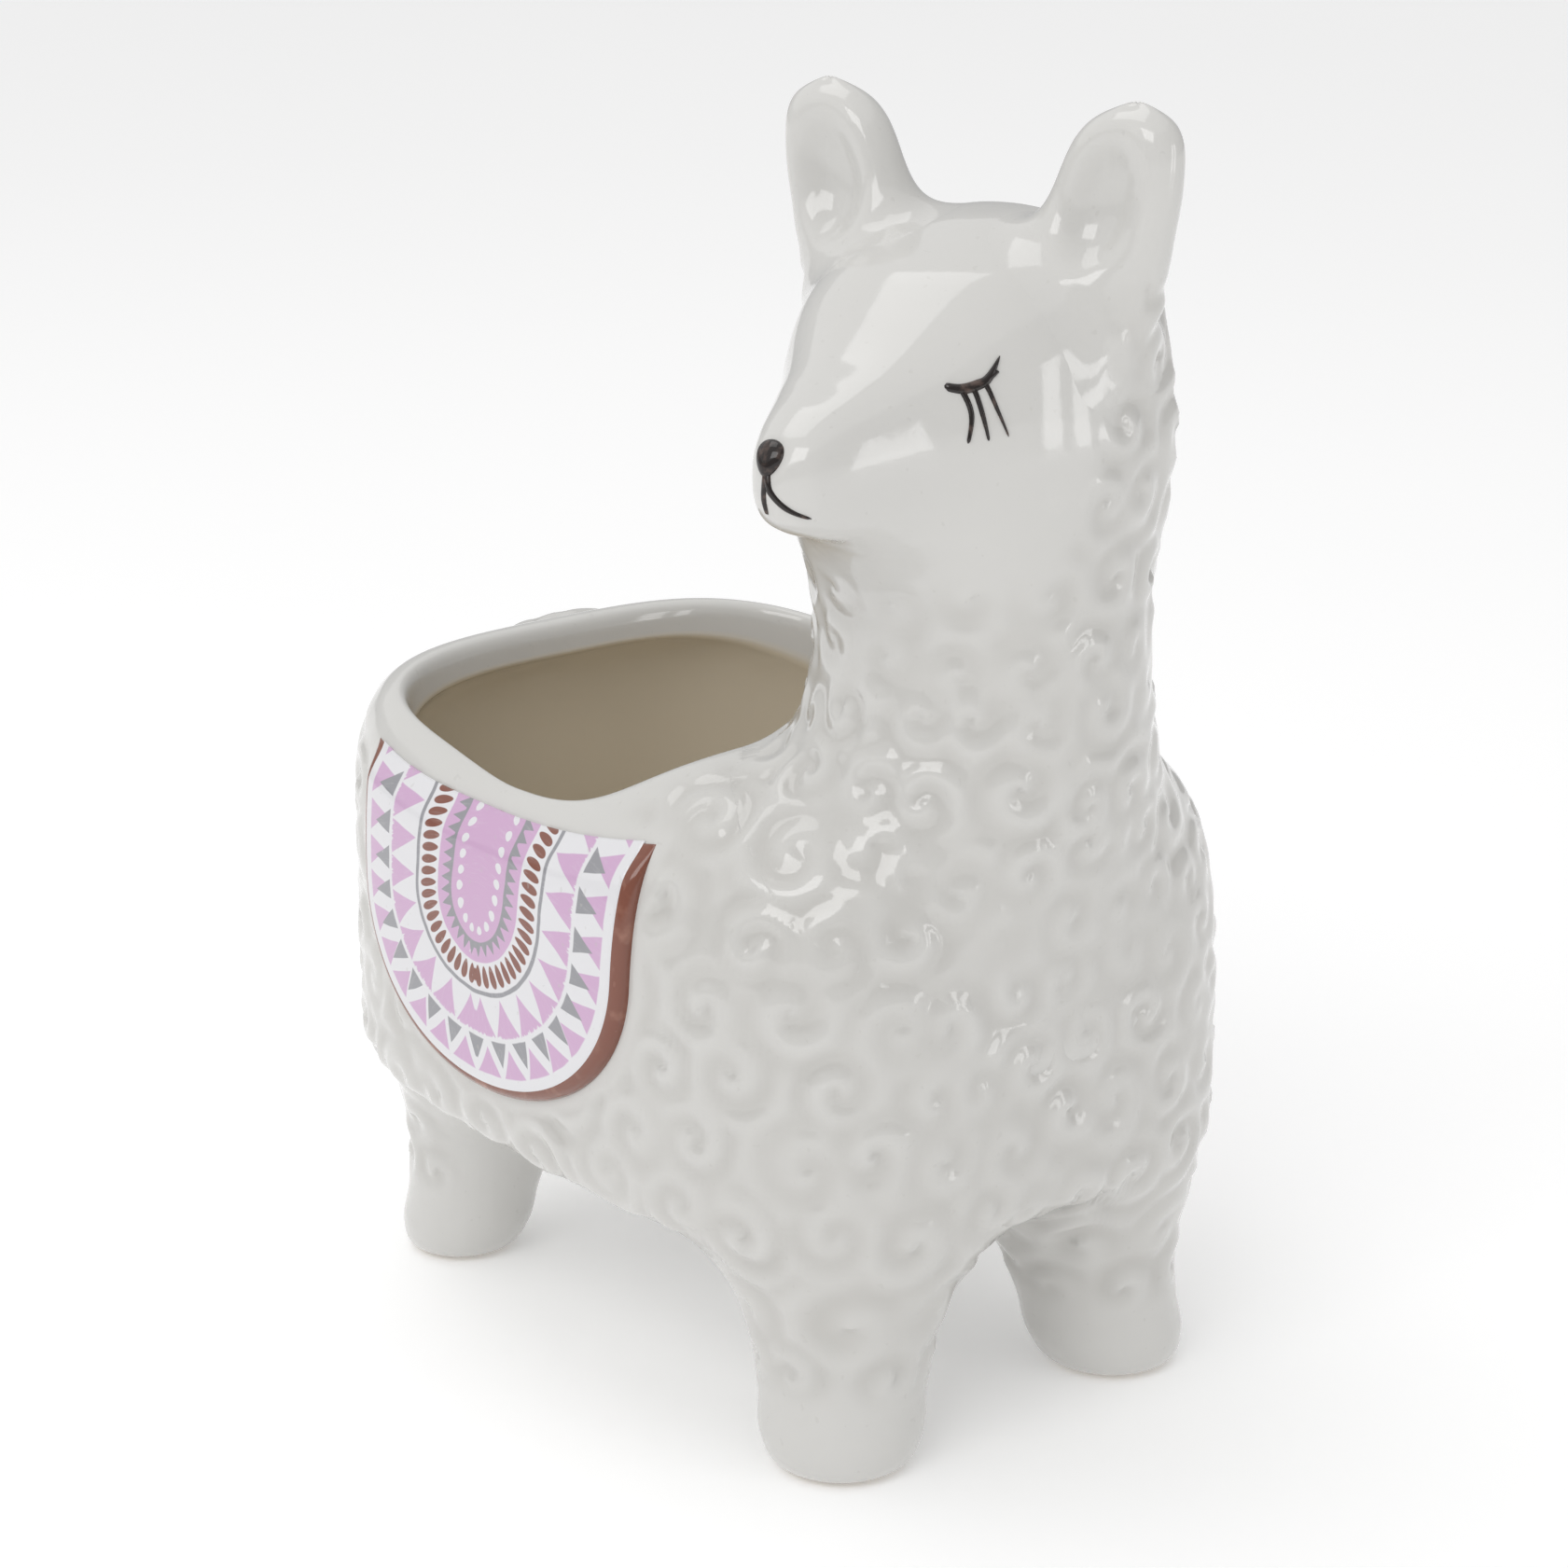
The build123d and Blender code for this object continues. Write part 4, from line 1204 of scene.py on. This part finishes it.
class PieceOperator(bpy.types.Operator):
    """Shared settings of the operators that build one kind of piece."""
    bl_options = {"REGISTER", "UNDO"}

    def execute(self, context):
        self.build(context, sizes_in_mm(context), context.scene.planter_colours)
        return {"FINISHED"}


class PLANTER_OT_bowl(PieceOperator):
    """Build the pot with its rounded lip, cavity, drain hole and carved wool."""
    bl_idname = "planter.bowl"
    bl_label = "Pot"

    def build(self, context, size, colours):
        grid, within, outside = bowl_grid(size, COLUMNS.bowl)
        grid, shade_and_streak_share = carve(grid, size, body_field, outside)
        points = grid.reshape(-1, 3)
        loops, starts = outward(points, grid_faces(*grid.shape[:2], close_rows=True, close_cols=True))
        add_object("bowl_body_glazed", points, loops, starts, glaze_material(colours),
                   "bowl_body", "glaze", {"shade_and_streak_share": shade_and_streak_share.ravel(), "inside": within.ravel()})


class PLANTER_OT_neck(PieceOperator):
    """Build the neck, head and snout with their wool."""
    bl_idname = "planter.neck"
    bl_label = "Neck and head"

    def build(self, context, size, colours):
        grid, hidden = neck_grid(size, COLUMNS.neck)
        show = np.ones((len(grid), 1))
        show[:hidden] = 0.0

        def skin(p):
            return blend_min(head_field(p), body_field(p), size.shoulder_blend)

        add_glazed("neck_and_head", *carve(grid, size, skin, show), colours)


class PLANTER_OT_ears(PieceOperator):
    """Build both ears with their hollows."""
    bl_idname = "planter.ears"
    bl_label = "Ears"

    def build(self, context, size, colours):
        for name, side in (("left_ear", 1), ("right_ear", -1)):
            add_glazed(name, *ear_grid(size, side, COLUMNS.limb), colours)


class PLANTER_OT_legs(PieceOperator):
    """Build the four legs, running out on the belly."""
    bl_idname = "planter.legs"
    bl_label = "Legs"

    def build(self, context, size, colours):
        for name, *leg in LEGS:
            add_glazed(name, *leg_grid(size, *leg, COLUMNS.limb), colours)


class PLANTER_OT_tail(PieceOperator):
    """Build the short tail on the rump."""
    bl_idname = "planter.tail"
    bl_label = "Tail"

    def build(self, context, size, colours):
        add_glazed("tail", *tail_grid(size, COLUMNS.tail), colours)


class PLANTER_OT_blankets(PieceOperator):
    """Build the raised blanket pads and their printed skins."""
    bl_idname = "planter.blankets"
    bl_label = "Blankets"

    def build(self, context, size, colours):
        edge = streaked_material("blanket_edge_glaze", colours.edge, colours.edge_thin,
                                 260.0, (0.52, 0.8), 0.15, 0.3)
        bands = print_material(colours)
        for name, side in (("left", 1), ("right", -1)):
            for skin in (False, True):
                y, z = blanket_grid(BLANKET.border if skin else 0.0, ROWS.blanket, COLUMNS.blanket)
                depth, turn, rise_up = blanket_level(y, z)
                base = np.stack([side * flank(y, z, size.lip_round), y, z], -1)
                normal = slope_normal(body_field, base)
                rise = pad_height(depth, z, y, size.pad_thick)
                if skin:
                    lift = size.print_lift * np.clip((depth - BLANKET.border) / 0.25, 0.05, 1)
                    parts = slab(base + normal * (rise + lift)[..., None],
                                 base + normal * (rise - BLANKET.print_sink)[..., None])
                    chart = np.stack([turn, rise_up / CHART_SPAN], -1).reshape(-1, 2)
                    deep = (depth - BLANKET.border).ravel()
                    add_object(name + "_blanket_print_skin", *parts, bands,
                               name + "_blanket_print", "blanket_print",
                               {"depth": np.concatenate([deep, deep])}, np.concatenate([chart, chart]))
                else:
                    parts = slab(base + normal * rise[..., None], base - normal * BLANKET.pad_sink)
                    add_object(name + "_blanket_pad_glazed", *parts, edge,
                               name + "_blanket_pad", "blanket_edge")


class PLANTER_OT_face(PieceOperator):
    """Build the closed eyes with their lashes, the nose and the mouth line."""
    bl_idname = "planter.face"
    bl_label = "Face"

    def build(self, context, size, colours):
        ink = streaked_material("brushed_enamel", colours.enamel, colours.enamel_dry,
                                800.0, (0.5, 0.75), 0.2, 0.0)
        lines = [
            ([(3.1, -0.25), (1.5, -0.6), (-0.2, -0.2), (-1.3, 0.5), (-3.0, 2.7)],
             (0.95, 1.1, 1.05, 0.75, 0.12)),
            ([(-1.2, 0.35), (-1.8, 0.75), (-2.3, 1.1)], (0.6, 0.45, 0.3)),
            ([(1.65, -0.55), (1.3, -3.4), (1.9, -6.6)], (0.65, 0.55, 0.35)),
            ([(0.5, -0.4), (0.2, -3.5), (-0.2, -6.5)], (0.55, 0.5, 0.25)),
            ([(-0.7, 0.1), (-1.3, -3.0), (-2.2, -6.2)], (0.55, 0.4, 0.15))]
        for name, side in (("left_eyelash", 1), ("right_eyelash", -1)):
            along = EYE.along if side > 0 else EYE.far_along
            height = EYE.height if side > 0 else EYE.height - EYE.far_drop

            def cheek(x, y):
                origin = HEAD_AXIS + AHEAD * (along + x)[..., None] + UP * (height + y)[..., None]
                return drape(origin, LEFT * side, head_field)
            parts = join([stroke_slab(points, widths, cheek, size) for points, widths in lines])
            add_object(name + "_painted", *parts, ink, name, "enamel")

        def muzzle(x, y):
            side, height = (NOSE.side + x)[..., None], (NOSE.height + y)[..., None]
            return drape(HEAD_AXIS + AHEAD * NOSE.inside + LEFT * side + UP * height, AHEAD, head_field)

        mouth = [
            ([(0.1, -1.4), (-0.1, -3.0), (-0.3, -4.6), (-0.3, -6.4)], (0.9, 0.85, 0.75, 0.3)),
            ([(0.2, -1.4), (0.9, -3.4), (2.5, -5.2), (4.8, -6.4)], (0.9, 0.85, 0.7, 0.25))]
        parts = join([stroke_slab(points, widths, muzzle, size) for points, widths in mouth])
        add_object("mouth_line_painted", *parts, ink, "mouth_line", "enamel")

        r = np.sin(np.linspace(0, pi / 2, ROWS.nose))[:, None]
        u = turns(COLUMNS.nose)[None, :]
        x = NOSE.half_width * r * np.cos(u) * (1 + NOSE.skew * np.sin(u))
        y = NOSE.half_height * r * np.sin(u)
        base, normal = muzzle(x, y)
        dome = base + normal * (NOSE.rise * np.sqrt(np.maximum(1 - r ** 2, 0)) + STROKE.lift)[..., None]
        under = base[::-1] - normal[::-1] * NOSE.sink
        points, loops, starts, _ = closed_tube(np.concatenate([dome[1:], under[:-1]]), {})
        add_object("nose_painted", points, loops, starts, ink, "nose", "enamel")


class PLANTER_OT_stage(PieceOperator):
    """Build the pale floor, soft lights and the camera at the photograph's angle."""
    bl_idname = "planter.stage"
    bl_label = "Stage"

    def build(self, context, size, colours):
        scene = context.scene
        count, reach, below = 13, 3.0, 0.0002
        u = np.linspace(-reach, reach, count)
        x, y = np.meshgrid(u, u)
        points = np.stack([x, y, 0 * x - below], -1).reshape(-1, 3)
        mesh = bpy.data.meshes.new("floor")
        mesh.from_pydata(points.tolist(), [], grid_faces(count, count).tolist())
        made, net, shader = new_material("pale_floor")
        cloud = net.calc("MULTIPLY", net.noise(net.place(), 3.0, 3.0), 0.06)
        net.put(shader["Base Color"], net.mix(cloud, (*colours.floor, 1), (0.7, 0.7, 0.7, 1)))
        shader["Roughness"].default_value = 0.6
        shader["Emission Color"].default_value = (1, 1, 1, 1)
        shader["Emission Strength"].default_value = 0.2
        mesh.materials.append(made)
        floor = link("floor", mesh)

        world = bpy.data.worlds.new("studio")
        world.use_nodes = True
        sky = world.node_tree.nodes["Background"].inputs
        sky[0].default_value, sky[1].default_value = (1, 1, 1, 1), 0.45
        scene.world = world
        for name, place, aim, wide, tall, power in (
                ("key_softbox", (-0.75, -0.35, 0.75), (0, 0, 0.08), 0.64, 0.46, 2.5),
                ("side_pane_left", (0.24, -0.8, 0.2), (0, 0, 0.12), 0.1, 0.38, 0.3),
                ("side_pane_right", (0.4, -0.74, 0.2), (0, 0, 0.12), 0.1, 0.38, 0.3),
                ("top_box", (-0.1, 0.3, 1.0), (0, 0, 0.08), 0.6, 0.5, 1.2)):
            lamp = bpy.data.lights.new(name, "AREA")
            lamp.shape, lamp.size, lamp.size_y, lamp.energy = "RECTANGLE", wide, tall, power
            light = link(name, lamp)
            way = np.array(aim) - np.array(place)
            light.location = place
            light.rotation_euler = Vector(way.tolist()).to_track_quat("-Z", "Y").to_euler()

        overhead = bpy.data.lights.new("overhead", "SUN")
        overhead.energy, overhead.angle = 0.9, radians(120)
        link("overhead", overhead).rotation_euler = (radians(-14), radians(-16), 0.0)

        lens = bpy.data.cameras.new("camera")
        lens.sensor_width, lens.lens = 36.0, 84.24
        lens.clip_start, lens.clip_end = 0.01, 20.0
        camera = link("camera", lens)
        camera.location = (-0.289826, -0.355818, 0.2189)
        camera.rotation_euler = (radians(90 - 17.504), 0.0, radians(-39.131))
        scene.camera = camera
        scene.view_settings.view_transform = "Standard"


OPERATORS = (PLANTER_OT_bowl, PLANTER_OT_neck, PLANTER_OT_ears, PLANTER_OT_legs, PLANTER_OT_tail,
             PLANTER_OT_blankets, PLANTER_OT_face, PLANTER_OT_stage)


class PLANTER_PT_panel(bpy.types.Panel):
    """Sidebar panel with the pieces, sizes and colours."""
    bl_idname = "PLANTER_PT_panel"
    bl_label = "Animal planter"
    bl_space_type = "VIEW_3D"
    bl_region_type = "UI"
    bl_category = "Planter"

    def draw(self, context):
        for made in OPERATORS:
            self.layout.operator(made.bl_idname)
        for group in (context.scene.planter_sizes, context.scene.planter_colours):
            box = self.layout.box()
            for key in group.__annotations__:
                box.prop(group, key)


CLASSES = (PlanterSizes, PlanterColours, *OPERATORS, PLANTER_PT_panel)


def register():
    for made in CLASSES:
        bpy.utils.register_class(made)
    bpy.types.Scene.planter_sizes = PointerProperty(type=PlanterSizes)
    bpy.types.Scene.planter_colours = PointerProperty(type=PlanterColours)


def unregister():
    del bpy.types.Scene.planter_sizes
    del bpy.types.Scene.planter_colours
    for made in reversed(CLASSES):
        bpy.utils.unregister_class(made)


def main():
    register()
    for made in OPERATORS:
        group, name = made.bl_idname.split(".")
        getattr(getattr(bpy.ops, group), name)()


if __name__ == "__main__":
    main()
